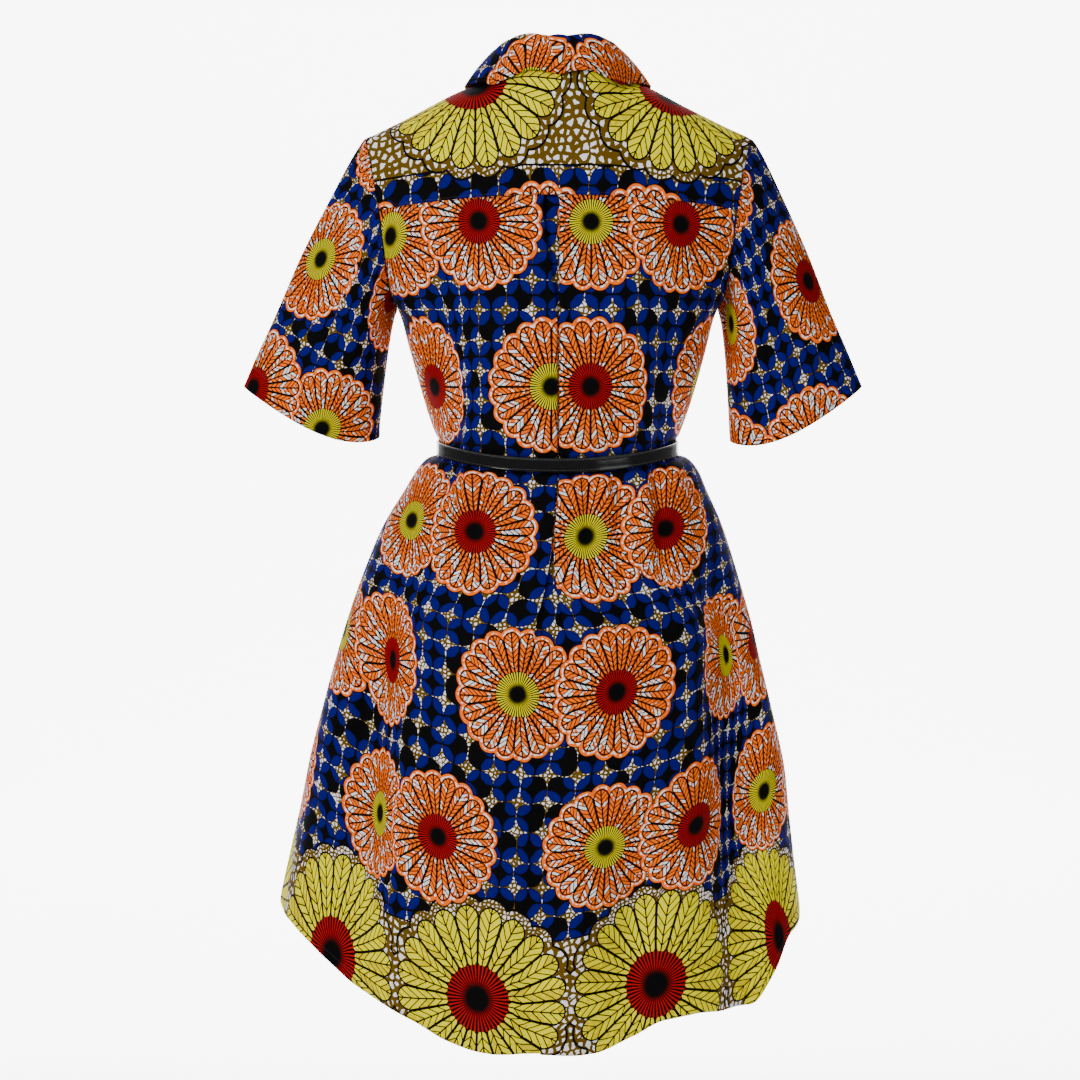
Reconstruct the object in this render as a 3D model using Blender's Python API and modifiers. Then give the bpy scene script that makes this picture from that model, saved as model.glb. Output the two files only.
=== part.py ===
"""A short-sleeved shirt dress in printed cotton, worn shape with nobody in it, with its narrow belt.

Frame: +Z up, the front faces -Y, the origin lies midway between the two points where the shoulders
meet the neck. The tables and functions below work in millimetres, and the meshes are in metres.
Angles round the body run from 0 at the centre (of the back or of the front) to 90 at the side.
"""

import math

import bpy
import numpy as np
from mathutils import Matrix, Vector

MM = 0.001
CLOTH = 1.3
COLLAR_CLOTH = 1.8
SEAM_GAP = 0.4
LAY_GAP = 0.4

# Shoulders and armholes: the shoulders spring from this height
SPRING = -150.0
SHOULDER_ROUNDING = 2.3
ARMHOLE_TOP, ARMPIT = -100.0, -240.0
# Neck
NECK_WIDTH, NECK_BACK, NECK_FRONT = 67.0, 68.0, 84.0
STAND_HEIGHT, STAND_LEAN = 22.0, 4.0
STAND_GAP_BACK, STAND_GAP_FRONT, STAND_UPRIGHT = 0.7, 2.1, 0.85
# Seams and bands
YOKE_SEAM_CENTRE, YOKE_SEAM_EDGE = -123.0, -137.0
FRONT_SEAM_TURN, FRONT_SEAM_FALL = 112.0, 22.0
PLACKET_WIDTH = 30.0
# Waist and skirt
BELT_SIDE, BELT_BACK_DIP, BELT_FRONT_DIP, DIP_REACH = -384.0, 13.0, 6.0, 110.0
SKIRT_TOP, FOLD_FADE, FOLD_LENGTH = -450.0, 260.0, 420.0
BODY_HALF_DEPTH = 120.0
# Belt
BELT_WIDTH, BELT_THICK, BELT_OFF_CLOTH = 15.0, 2.5, 0.6
BELT_OFF_PLACKET, PLACKET_RISE_HALF = 2.8, 48.0
TAIL_LENGTH, TAIL_GAP, TAIL_RUN_UP = 92.0, 0.9, 30.0
BELT_POINTS, TAIL_POINTS, BELT_STEP = 58, 22, 4.0
BUCKLE_LENGTH, BUCKLE_WIDTH, BUCKLE_WIRE, BUCKLE_CORNER = 15.0, 18.6, 1.1, 2.5
PRONG_WIRE = 0.8
KEEPER_PLACE, KEEPER_LENGTH, KEEPER_WALL = 24.0, 8.0, 1.2
# Buttons
BUTTON_WIDTH, BUTTON_THICK, BUTTON_SIDES, BUTTON_RIM = 11.5, 2.4, 16, 0.6
BUTTON_HEIGHTS = (-92.0, -165.0, -238.0, -311.0, -455.0, -540.0, -625.0, -710.0)

# Horizontal sections of the body: height, half width at the side, y of the back and of the front at
# the centre, y of the side, the exponent that squares the oval, and how far it hangs to +x
FORM = np.array(
    [
        # z, half_width, back, front, side, exponent, sway
        (70, 205, 97, -84, 0, 2.6, 0),
        (-60, 205, 97, -86, 0, 2.6, 0),
        (-100, 205, 97, -99, -2, 2.6, 0),
        (-150, 203, 98, -117, -6, 2.6, 0),
        (-190, 192, 99, -131, -10, 2.5, 0),
        (-220, 179, 99, -139, -14, 2.4, 0),
        (-240, 168, 98, -143, -16, 2.35, 0),
        (-277, 158, 96, -145, -19, 2.3, 0),
        (-315, 147.5, 93, -140, -20, 2.25, 0),
        (-341, 140, 90, -134, -20, 2.2, 0),
        (-360, 133.5, 89, -129, -20, 2.2, 0),
        (-371, 129, 86, -125, -20, 2.2, 0),
        (-376, 126, 83, -122, -20, 2.2, 0),
        (-392.2, 126, 83, -122, -20, 2.2, 0),
        (-395.5, 137, 88, -123, -20, 2.2, 0),
        (-405, 147, 95, -127, -20, 2.2, 0),
        (-430, 161, 105, -144, -21, 2.2, 2),
        (-468, 181, 116, -162, -22, 2.2, 5),
        (-507, 196, 126, -174, -23, 2.15, 7),
        (-559, 213, 137, -186, -24, 2.1, 9),
        (-612, 227, 147, -197, -25, 2.1, 11),
        (-664, 240, 156, -206, -25, 2.1, 12),
        (-717, 253, 164, -214, -25, 2.1, 13),
        (-770, 262, 171, -221, -25, 2.1, 15),
        (-822, 272, 178, -227, -25, 2.1, 17),
        (-875, 281, 184, -232, -25, 2.1, 19),
        (-1000, 292, 196, -242, -25, 2.1, 20),
    ],
    float,
)
# Ridge of the shoulders, from the middle of the neck outwards
RIDGE = np.array(
    [
        # x, z
        (0, 58),
        (28, 47),
        (50, 22),
        (67, 1),
        (80, -4.5),
        (100, -12.5),
        (133, -28.8),
        (159, -41.5),
        (205, -63),
    ],
    float,
)
# Half width at the armhole seam
ARMHOLE = np.array(
    [
        # z, half_width
        (-240, 168),
        (-225, 173.5),
        (-201, 177),
        (-170, 180),
        (-137, 184),
        (-103, 190),
        (-60, 200),
    ],
    float,
)
# Long folds of the skirt. The depth is at the hem, and a ridge has a positive one.
SKIRT_FOLDS = [
    # face, side, top_angle, hem_angle, half_width, depth, top
    (1, 1, 54, 42, 8.5, -20, -425),
    (1, 1, 74, 64, 9.0, 9, -470),
    (1, 1, 25, 19, 8.0, -8, -600),
    (1, -1, 60, 46, 8.5, -23, -425),
    (1, -1, 76, 68, 9.0, 10, -470),
    (1, -1, 24, 14, 7.5, -10, -620),
    (-1, 1, 48, 40, 9.0, -20, -425),
    (-1, 1, 70, 64, 9.0, 8, -470),
    (-1, 1, 26, 20, 7.0, -7, -620),
    (-1, -1, 44, 37, 9.0, -18, -425),
    (-1, -1, 68, 60, 9.0, 9, -470),
    (-1, -1, 25, 18, 7.0, -7, -600),
]
# Hem heights by angle round the body: back left, back right, front
HEM = np.array(
    [
        # angle, back_left, back_right, front
        (0, -984, -984, -930),
        (10, -981, -983, -928),
        (18, -972, -969, -925),
        (25, -955, -953, -921),
        (33, -941, -950, -915),
        (42, -930, -956, -907),
        (50, -908, -957, -899),
        (58, -888, -926, -890),
        (66, -875, -888, -881),
        (78, -871, -879, -874),
        (90, -871, -871, -871),
    ],
    float,
)
# Inverted pleat, from the centre of its underlay outwards: along the cloth, then place and depth when
# folded. It opens into a soft valley of the same cloth lower down.
PLEAT = np.array(
    [
        # along, folded_place, folded_depth
        (0.0, 0.0, 5.0),
        (14.2, 14.2, 5.0),
        (15.2, 15.2, 3.9),
        (16.2, 14.2, 2.8),
        (28.4, 1.9, 2.5),
        (29.4, 0.8, 1.3),
        (30.4, 1.8, 0.0),
        (46.0, 17.0, 0.0),
    ],
    float,
)
PLEAT_OPENS, PLEAT_OPEN, PLEAT_VALLEY, PLEAT_SPREAD = -470.0, -645.0, 7.0, 0.93
# On its +x side the pleat stands open at the yoke, by this much, and closes at this height
PLEAT_RECESS, RECESS_TOP, RECESS_END = 14.0, -123.0, -262.0
# Rows of points down the body
ARMHOLE_ROWS = 7
BODY_LEVELS = (-263, -288, -313, -336, -354, -367, -376, -392.2, -395.5, -404, -419, -434, SKIRT_TOP)
SKIRT_ROWS = 13
BACK_COLUMNS, FRONT_COLUMNS = 13, 12
YOKE_EDGE_COLUMNS = 8
# Sleeves: x and z of the hem's outer and inner end. The right one hangs closer to the body.
SLEEVE_HEMS = {1: ((331.0, -319.0), (188.0, -373.0)), -1: ((321.0, -319.0), (182.0, -377.0))}
SLEEVE_HEM_DEPTH, SLEEVE_HEM_Y, SLEEVE_BACK_DROP = 39.0, -4.0, 13.0
SLEEVE_ROWS = (0.0, 0.03, 0.09, 0.18, 0.3, 0.44, 0.58, 0.72, 0.86, 1.0)
# How far a sleeve runs on in its panel's direction, and how its underarm turns down
SLEEVE_REACH, CAP_REACH, CAP_SPREAD = 7.0, 8.0, 40.0
UNDERARM_LOW, UNDERARM_HIGH, UNDERARM_REACH, UNDERARM_GAP = -212.0, -140.0, 7.0, 0.5
UNDERARM_WAY = np.array([0.5, 0.0, -0.87])
OUTWARDS = np.array([1.0, 0.0, 0.0])
UPWARDS = np.array([0.0, 0.0, 1.0])
# Collar: station round the neck, then the fall's lower edge as x and turn over the shoulder, in degrees
COLLAR_EDGE = np.array(
    [
        # station, x, turn
        (0, 0, 42),
        (30, 44, 52),
        (60, 75, 70),
        (90, 96, 91),
        (120, 95, 121),
        (150, 79, 145),
        (180, 57, 157),
    ],
    float,
)
# Roll of the fall over the stand: up and out from the stand's top
COLLAR_ROLL = ((0.0, 0.0), (2.4, 0.0), (4.6, 2.2), (4.6, 5.4), (2.6, 8.2))
COLLAR_FALL = (0.28, 0.62, 1.0)
COLLAR_FRONT_REACH, COLLAR_BULGE = 0.5, 5.0
COLLAR_CLEAR, COLLAR_START = 2.1, 0.6
COLLAR_STATIONS, NECK_END = 17, 178.8
STAND_ROWS = 4
NECK_HALF_DEPTH = 77.0
# Rounds of settling for a point that is found step by step
SETTLE = 30


def smooth_curve(table, column=1):
    """A monotone cubic through a table's column, against its first column."""
    rows = table[np.argsort(table[:, 0])]
    at, value = rows[:, 0], rows[:, column]
    step = np.diff(at)
    rise = np.diff(value) / step
    slope = np.concatenate([rise[:1], np.zeros(len(at) - 2), rise[-1:]])
    for i in range(1, len(at) - 1):
        if rise[i - 1] * rise[i] > 0:
            before, after = 2 * step[i] + step[i - 1], step[i] + 2 * step[i - 1]
            slope[i] = (before + after) / (before / rise[i - 1] + after / rise[i])

    def read(where):
        where = np.clip(np.asarray(where, float), at[0], at[-1])
        i = np.clip(np.searchsorted(at, where) - 1, 0, len(step) - 1)
        t = (where - at[i]) / step[i]
        start = value[i] * (1 + 2 * t) * (1 - t) ** 2 + slope[i] * step[i] * t * (1 - t) ** 2
        end = value[i + 1] * t**2 * (3 - 2 * t) + slope[i + 1] * step[i] * t**2 * (t - 1)
        return start + end

    return read


half_width, back_y, front_y, side_y, exponent, sway = (smooth_curve(FORM, c) for c in range(1, 7))
ridge = smooth_curve(RIDGE)
armhole_x = smooth_curve(ARMHOLE)
hem_curves = {(1, 1): smooth_curve(HEM, 1), (1, -1): smooth_curve(HEM, 2)}
hem_curves[(-1, 1)] = hem_curves[(-1, -1)] = smooth_curve(HEM, 3)


def smoothstep(low, high, value):
    t = np.clip((value - low) / (high - low), 0, 1)
    return t * t * (3 - 2 * t)


def unit(vectors):
    vectors = np.asarray(vectors, float)
    return vectors / np.maximum(np.linalg.norm(vectors, axis=-1, keepdims=True), 1e-9)


def waist_shift(face, angle, z):
    """The belt dips at the centre of the back and of the front, and the waist with it."""
    dip = BELT_BACK_DIP if face > 0 else BELT_FRONT_DIP
    return dip * np.cos(np.radians(angle)) ** 2 * np.exp(-(((z - BELT_SIDE) / DIP_REACH) ** 4))


def dipped(face, angle, level):
    """Height of the cloth that belongs at this level of the form's table."""
    z = level
    for _ in range(SETTLE):
        z = level - waist_shift(face, angle, z)
    return z


def shoulder_cap(x, z):
    """How far the section still reaches out at this height: 1 below the shoulders, 0 on their ridge."""
    rise = np.clip((z - SPRING) / (ridge(np.abs(x)) - SPRING), 0, 1)
    return (1 - rise**SHOULDER_ROUNDING) ** (1 / SHOULDER_ROUNDING)


def section_y(face, reach, x, z):
    """y of the form, where reach is the section's own share of its depth."""
    depth = back_y(z) if face > 0 else front_y(z)
    side = side_y(z)
    return (side + (depth - side) * reach) * shoulder_cap(x, z)


def fold_depth(face, side, angle, z):
    """How far the skirt's long folds move the cloth outwards."""
    depth = np.zeros(np.broadcast(angle, z).shape)
    for fold_face, fold_side, top_angle, hem_angle, width, hem_depth, top in SKIRT_FOLDS:
        if (fold_face, fold_side) != (face, side):
            continue
        drop = smoothstep(0, 1, (top - z) / FOLD_FADE)
        middle = top_angle + (hem_angle - top_angle) * np.clip((top - z) / FOLD_LENGTH, 0, 1)
        depth = depth + hem_depth * drop * np.exp(-(((angle - middle) / width) ** 2))
    return depth


def form_point(face, side, angle, z):
    """A point of the body's form: face 1 for the back, side 1 for +x."""
    angle, z = np.broadcast_arrays(np.asarray(angle, float), np.asarray(z, float))
    level = z + waist_shift(face, angle, z)
    power = 2 / exponent(level)
    width = half_width(level)
    x = width * np.sin(np.radians(angle)) ** power
    reach = np.clip(np.cos(np.radians(angle)), 0, 1) ** power
    y = section_y(face, reach, x, level)
    out = unit(np.stack([x / width**2, (y - side_y(level)) / BODY_HALF_DEPTH**2], -1))
    moved = fold_depth(face, side, angle, z)
    return np.stack([side * (x + moved * out[..., 0]) + sway(z), y + moved * out[..., 1], z], -1)


def angle_at(face, x, z):
    """The angle at which the form has this x."""
    level = z + waist_shift(face, 0.0, z)
    return np.degrees(np.arcsin(np.clip(np.abs(x) / half_width(level), 0, 1) ** (exponent(level) / 2)))


def over_point(x, turn):
    """A point of the shoulders: turn 0 at the back, 90 on the ridge, 180 at the front."""
    x, turn = np.broadcast_arrays(np.asarray(x, float), np.asarray(turn, float))
    power = 2 / SHOULDER_ROUNDING
    rise = np.clip(np.sin(np.radians(turn)), 0, 1) ** power
    z = SPRING + (ridge(np.abs(x)) - SPRING) * rise
    cap = np.abs(np.cos(np.radians(turn))) ** power
    reach = np.clip(1 - (np.abs(x) / half_width(z)) ** exponent(z), 0, 1) ** (1 / exponent(z))
    side = side_y(z)
    depth = np.where(turn < 90, back_y(z), front_y(z))
    return np.stack([x, (side + (depth - side) * reach) * cap, z], -1)


def turn_at(x, z):
    """The turn over the shoulder at which the back of the form has this height."""
    rise = np.clip((z - SPRING) / (ridge(np.abs(x)) - SPRING), 0, 1)
    return np.degrees(np.arcsin(rise ** (SHOULDER_ROUNDING / 2)))


def neck_turn(x, y):
    """The turn at which the shoulders pass over a point of the plan."""
    face = np.where(y >= 0, 1, -1)
    z = ridge(np.abs(x))
    for _ in range(SETTLE):
        reach = np.clip(1 - (np.abs(x) / half_width(z)) ** exponent(z), 0, 1) ** (1 / exponent(z))
        depth = np.where(face > 0, back_y(z), front_y(z))
        cap = np.clip(y / (side_y(z) + (depth - side_y(z)) * reach), 0, 1)
        rise = (1 - cap**SHOULDER_ROUNDING) ** (1 / SHOULDER_ROUNDING)
        z = 0.5 * z + 0.5 * (SPRING + (ridge(np.abs(x)) - SPRING) * rise)
    turn = np.degrees(np.arcsin(np.clip(rise, 0, 1) ** (SHOULDER_ROUNDING / 2)))
    return np.where(face > 0, turn, 180 - turn)


def neckline(station):
    """x and turn of the neck seam: station 0 at the nape, 90 on the shoulder, 180 at the front."""
    station = np.asarray(station, float)
    x = NECK_WIDTH * np.sin(np.radians(station))
    depth = np.where(station < 90, NECK_BACK, NECK_FRONT)
    y = depth * np.cos(np.radians(station))
    return x, neck_turn(x, y)


def front_seam_turn(x):
    """The yoke's front seam: a little over the shoulder, and further at the armhole."""
    return FRONT_SEAM_TURN + FRONT_SEAM_FALL * smoothstep(NECK_WIDTH, 200, x)


def material_of(name, colour, roughness, metallic=0.0):
    material = bpy.data.materials.get(name) or bpy.data.materials.new(name)
    material.use_nodes = True
    shader = material.node_tree.nodes["Principled BSDF"]
    shader.inputs["Base Color"].default_value = (*colour, 1)
    shader.inputs["Roughness"].default_value = roughness
    shader.inputs["Metallic"].default_value = metallic
    material.diffuse_color = (*colour, 1)
    return material


def place(obj, material):
    obj.data.materials.append(material)
    for collection in list(obj.users_collection):
        collection.objects.unlink(obj)
    dress_pieces.objects.link(obj)
    return obj


def mesh_normals(grid):
    """Normals of a grid's points, from the differences along its rows and columns."""
    return unit(np.cross(np.gradient(grid, axis=0), np.gradient(grid, axis=1)))


def round_the_body(grid):
    """For each point, the place inside the body that its cloth faces away from."""
    return grid * (0, 0, 1) + (0, -20, 0)


def sheet_of(name, grid, thickness, material, inside, closed=False):
    """A cloth piece: rows of outer points, made a wall by Solidify on the side of the inside points."""
    rows, columns = grid.shape[:2]
    if np.sum(mesh_normals(grid) * (grid - inside)) < 0:
        grid = grid[:, ::-1]
    number = np.arange(rows * columns).reshape(rows, columns)
    if closed:
        number = np.concatenate([number, number[:, :1]], axis=1)
    corners = np.stack([number[:-1, :-1], number[1:, :-1], number[1:, 1:], number[:-1, 1:]], -1)
    mesh = bpy.data.meshes.new(name)
    mesh.from_pydata((grid.reshape(-1, 3) * MM).tolist(), [], corners.reshape(-1, 4).tolist())
    mesh.shade_smooth()
    obj = bpy.data.objects.new(name, mesh)
    bpy.context.scene.collection.objects.link(obj)
    wall = obj.modifiers.new("Wall", "SOLIDIFY")
    wall.thickness = thickness * MM
    wall.offset = -1
    wall.use_even_offset = True
    wall.thickness_clamp = 0
    return place(obj, material)


def edge_x(z):
    """Half width at the panels' outer edge: the armhole, then the side seam."""
    return np.where(z > ARMPIT, armhole_x(z), half_width(z))


def edge_angle(face, z):
    return np.where(z > ARMPIT, angle_at(face, edge_x(z), z), 90.0)


def half_panel(face, side, columns, middle, top_of):
    """Rows of angles and heights for half a panel, from its outer edge to the column where its middle
    starts. middle gives that column's x for a height, top_of the top edge's height for an x."""
    edge_top = float(top_of(armhole_x(ARMHOLE_TOP)))
    levels = np.linspace(edge_top, ARMPIT, ARMHOLE_ROWS)
    share = np.linspace(0, 1, columns)
    hem = hem_curves[(face, side)]
    rows = []
    for number, level in enumerate(levels):
        outer, inner = edge_angle(face, level), angle_at(face, middle(level), level)
        angle = outer + (inner - outer) * share
        z = np.full(columns, level)
        fade = 1 - number / (ARMHOLE_ROWS - 1)
        if number == 0:
            for _ in range(SETTLE):
                x = half_width(z) * np.sin(np.radians(angle)) ** (2 / exponent(z))
                z = top_of(x)
                angle = angle_at(face, x, z)
            top_rise = z - level
        z = level + top_rise * fade
        if number:
            x_top = edge_x(level) * (rows[0][2] / rows[0][2][0])
            x_level = half_width(level) * np.sin(np.radians(angle)) ** (2 / exponent(level))
            x = x_top * fade + x_level * (1 - fade)
            angle = angle_at(face, x, z)
            angle[0] = angle_at(face, edge_x(z[0]), z[0]) if number < ARMHOLE_ROWS - 1 else 90.0
        rows.append((angle, z, x))
    for level in BODY_LEVELS:
        inner = angle_at(face, middle(level), level)
        angle = 90 + (inner - 90) * share
        rows.append((angle, dipped(face, angle, level) + 0 * angle, None))
    for share_down in np.linspace(0, 1, SKIRT_ROWS + 1)[1:]:
        z = SKIRT_TOP + (hem(90 * (1 - share)) - SKIRT_TOP) * share_down
        for _ in range(SETTLE):
            inner = angle_at(face, middle(z[-1]), z[-1])
            angle = 90 + (inner - 90) * share
            z = SKIRT_TOP + (hem(angle) - SKIRT_TOP) * share_down
        rows.append((angle, z, None))
    return np.array([row[0] for row in rows]), np.array([row[1] for row in rows])


def open_side_seam(grid, face):
    """Draws the edge below the armpit back from the side seam by half its gap."""
    grid[ARMHOLE_ROWS - 1 :, 0, 1] += face * SEAM_GAP / 2


def yoke_seam(x):
    drop = YOKE_SEAM_EDGE - YOKE_SEAM_CENTRE
    return YOKE_SEAM_CENTRE + drop * (np.abs(x) / armhole_x(YOKE_SEAM_EDGE)) ** 2 - SEAM_GAP / 2


def pleat_opening(z):
    return 1 - smoothstep(PLEAT_OPEN, PLEAT_OPENS, z)


def pleat_recess(side, z):
    return PLEAT_RECESS * smoothstep(RECESS_END, RECESS_TOP, z) if side > 0 else 0.0 * z


def pleat_edge(side, z):
    """Half width of the stretch that the pleat's table covers."""
    opened = pleat_opening(z)
    folded = PLEAT[-1, 1] + pleat_recess(side, z)
    return folded * (1 - opened) + PLEAT[-1, 0] * PLEAT_SPREAD * opened


def pleat_points(side, z):
    """The pleat's points beside the centre, for one row: place and depth beneath the form."""
    opened = pleat_opening(z)
    along, folded_place, folded_depth = PLEAT[:-1].T
    valley = PLEAT_VALLEY * (0.5 + 0.5 * np.cos(math.pi * along / PLEAT[-1, 0]))
    shifted = folded_place + pleat_recess(side, z) * np.clip(along / PLEAT[1, 0], 0, 1)
    place_now = shifted * (1 - opened) + along * PLEAT_SPREAD * opened
    depth_now = folded_depth * (1 - opened) + valley * opened
    points = form_point(1, side, angle_at(1, place_now, z), np.full(len(along), z))
    points[:, 1] -= depth_now
    return points


def make_back(material):
    halves = []
    for side in (1, -1):
        angles, heights = half_panel(1, side, BACK_COLUMNS, lambda z: pleat_edge(side, z), yoke_seam)
        grid = form_point(1, side, angles, heights)
        open_side_seam(grid, 1)
        pleat = np.array([pleat_points(side, row[-1])[::-1] for row in heights])
        halves.append(np.concatenate([grid, pleat], axis=1))
    left, right = halves
    back = np.concatenate([left, right[:, -2::-1]], axis=1)
    sheet_of("back", back, CLOTH, material, round_the_body(back))
    return back


def front_top(x):
    """Height of the front's top edge: the yoke's seam, then the neck."""
    x = np.abs(x)
    station = 180 - np.degrees(np.arcsin(np.clip(x / NECK_WIDTH, 0, 1)))
    neck_x, turn = neckline(station)
    seam = over_point(x, front_seam_turn(x))[..., 2]
    neck = over_point(neck_x, turn)[..., 2]
    return np.where(x > front_corner(), seam, np.minimum(seam, neck)) - SEAM_GAP / 2


def front_corner():
    """x at which the yoke's front seam meets the neck."""
    station = np.linspace(95, 150, 221)
    x, turn = neckline(station)
    return x[np.argmin(np.abs(turn - front_seam_turn(x)))]


def make_front(side, material):
    name = "front_left" if side > 0 else "front_right"
    angles, heights = half_panel(-1, side, FRONT_COLUMNS, lambda z: PLACKET_WIDTH / 2, front_top)
    grid = form_point(-1, side, angles, heights)
    open_side_seam(grid, -1)
    neck_drop = front_top(SEAM_GAP / 2) - heights[0, -1]
    fade = np.clip(1 - np.arange(len(heights)) / (ARMHOLE_ROWS - 1), 0, 1)
    middle_z = heights[:, -1] + neck_drop * fade
    middle = form_point(-1, side, angle_at(-1, SEAM_GAP / 2, middle_z), middle_z)
    grid = np.concatenate([grid, middle[:, None]], axis=1)
    sheet_of(name, grid, CLOTH, material, round_the_body(grid))
    return grid


def make_placket(left, right, material):
    """The button band, from the fronts' own points moved out."""
    middle = (left[:, -1] + right[:, -1]) / 2
    strip = np.stack([right[:, -2], middle, left[:, -2]], axis=1)
    out = mesh_normals(strip)
    out *= np.sign(-out[..., 1:2])
    placket = strip + out * (LAY_GAP + CLOTH)
    sheet_of("placket", placket, CLOTH, material, round_the_body(placket))
    return placket, out


def make_yoke(back, front, material):
    """A fan from the neck seam to the back seam, the armholes and the front seams."""
    corner = front_corner()
    edge_start = front[0, 0, 0]
    row_x = np.array([x for x in front[0, :, 0] if x > corner - 2][::-1])
    row_share = (row_x - row_x[0]) / (row_x[-1] - row_x[0])
    seam_x = back[0, :BACK_COLUMNS, 0]
    start_turn, end_turn = front_seam_turn(edge_start), turn_at(seam_x[0], yoke_seam(seam_x[0]))
    outline = []
    for turn in np.linspace(start_turn, end_turn, YOKE_EDGE_COLUMNS + 1)[:-1]:
        x = edge_start
        for _ in range(SETTLE):
            x = float(armhole_x(over_point(x, turn)[2]))
        outline.append((x, turn))
    outline += [(x, turn_at(x, yoke_seam(x) + SEAM_GAP)) for x in seam_x]
    outline.append((0.0, turn_at(0.0, yoke_seam(0.0) + SEAM_GAP)))
    outline = np.array(outline)
    corner_station = 180 - math.degrees(math.asin(corner / NECK_WIDTH))
    stations = np.linspace(corner_station, 0, len(outline))
    neck_x, turns = neckline(stations)
    neck = np.stack([neck_x, turns], -1)
    half = neck[None] + (outline - neck)[None] * row_share[:, None, None]
    half[:, 0, 0] = row_x
    half[:, 0, 1] = front_seam_turn(row_x)
    points = over_point(half[..., 0], half[..., 1])
    points[:, 0, 1] += SEAM_GAP / 2
    mirrored = points[:, -2::-1] * (-1, 1, 1)
    yoke = np.concatenate([points, mirrored], axis=1)
    sheet_of("yoke", yoke, CLOTH, material, (0, 0, SPRING))
    return yoke


def armhole_loop(back, front, yoke):
    """The seam round one armhole, from the armpit up the back and down the front, and the
    direction in which each panel's cloth runs out over it."""
    seam, inside = [], []
    for row in range(ARMHOLE_ROWS - 1, 0, -1):
        seam.append(back[row, 0])
        inside.append(back[row, 2])
    for column in range(YOKE_EDGE_COLUMNS, -1, -1):
        seam.append(yoke[-1, column])
        inside.append(yoke[-2, column])
    for row in range(1, ARMHOLE_ROWS - 1):
        seam.append(front[row, 0])
        inside.append(front[row, 2])
    seam, inside = np.array(seam), np.array(inside)
    seam[0, 1] = (back[ARMHOLE_ROWS - 1, 0, 1] + front[ARMHOLE_ROWS - 1, 0, 1]) / 2
    return seam, unit(seam - inside)


def lengths_round(loop):
    """Length from the first point of a closed loop to each point, ending with its whole length."""
    steps = np.linalg.norm(np.roll(loop, -1, axis=0) - loop, axis=1)
    return np.concatenate([[0], np.cumsum(steps)])


def make_sleeve(side, back, front, yoke, material):
    """Curves that leave the armhole along its panels and end on the hem's tilted oval."""
    seam, run = armhole_loop(back, front, yoke)
    low = 1 - smoothstep(UNDERARM_LOW, UNDERARM_HIGH, seam[:, 2])[:, None]
    start = seam + unit(run * (1 - low) + OUTWARDS * low) * (SEAM_GAP + 0.1 + UNDERARM_GAP * low)
    first_way = unit(run * (1 - low) + UNDERARM_WAY * low)
    along = lengths_round(seam)
    top = int(np.argmax(seam[:, 2]))
    up_share = along[:-1] / along[top]
    down_share = (along[:-1] - along[top]) / (along[-1] - along[top])
    turn = 180 * np.where(np.arange(len(seam)) <= top, up_share, 1 + down_share)
    outer, inner = np.array(SLEEVE_HEMS[side])
    middle, half = (outer + inner) / 2, (inner - outer) / 2
    c, s = np.cos(np.radians(turn)), np.sin(np.radians(turn))
    hem_x = middle[0] + half[0] * c
    hem_y = SLEEVE_HEM_Y + SLEEVE_HEM_DEPTH * s
    hem_z = middle[1] + half[1] * c - SLEEVE_BACK_DROP * (0.3 + s) * np.abs(s) * (1 + 0.45 * c)
    hem = np.stack([hem_x, hem_y, hem_z], -1)
    cap = np.exp(-(((turn - 180) / CAP_SPREAD) ** 2))
    reach = SLEEVE_REACH + UNDERARM_REACH * low[:, 0] + CAP_REACH * cap
    first = start + first_way * reach[:, None]
    second = (first + hem) / 2
    t = np.array(SLEEVE_ROWS)[:, None, None]
    near_start = start * (1 - t) ** 3 + first * 3 * t * (1 - t) ** 2
    near_hem = second * 3 * t**2 * (1 - t) + hem * t**3
    sleeve = (near_start + near_hem) * (side, 1, 1)
    name = "sleeve_left" if side > 0 else "sleeve_right"
    sheet_of(name, sleeve, CLOTH, material, sleeve.mean(axis=1, keepdims=True), closed=True)
    return sleeve


def neck_frame(stations):
    """Points of the neck seam with directions out of the neck and up the collar's stand."""

    def seam_at(stations):
        x, turn = neckline(np.abs(stations))
        return over_point(np.where(stations < 0, -x, x), turn)

    seam = seam_at(stations)
    along = unit(seam_at(stations + 0.5) - seam_at(stations - 0.5))
    out = seam * (1 / NECK_WIDTH**2, 1 / NECK_HALF_DEPTH**2, 0)
    out = unit(out - along * np.sum(out * along, -1, keepdims=True))
    up = unit(np.cross(along, out))
    up *= np.sign(up[:, 2:])
    front = smoothstep(90, 180, np.abs(stations))[:, None]
    up = unit(up * (1 - STAND_UPRIGHT * front) + UPWARDS * STAND_UPRIGHT * front)
    return seam, out, up


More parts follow.
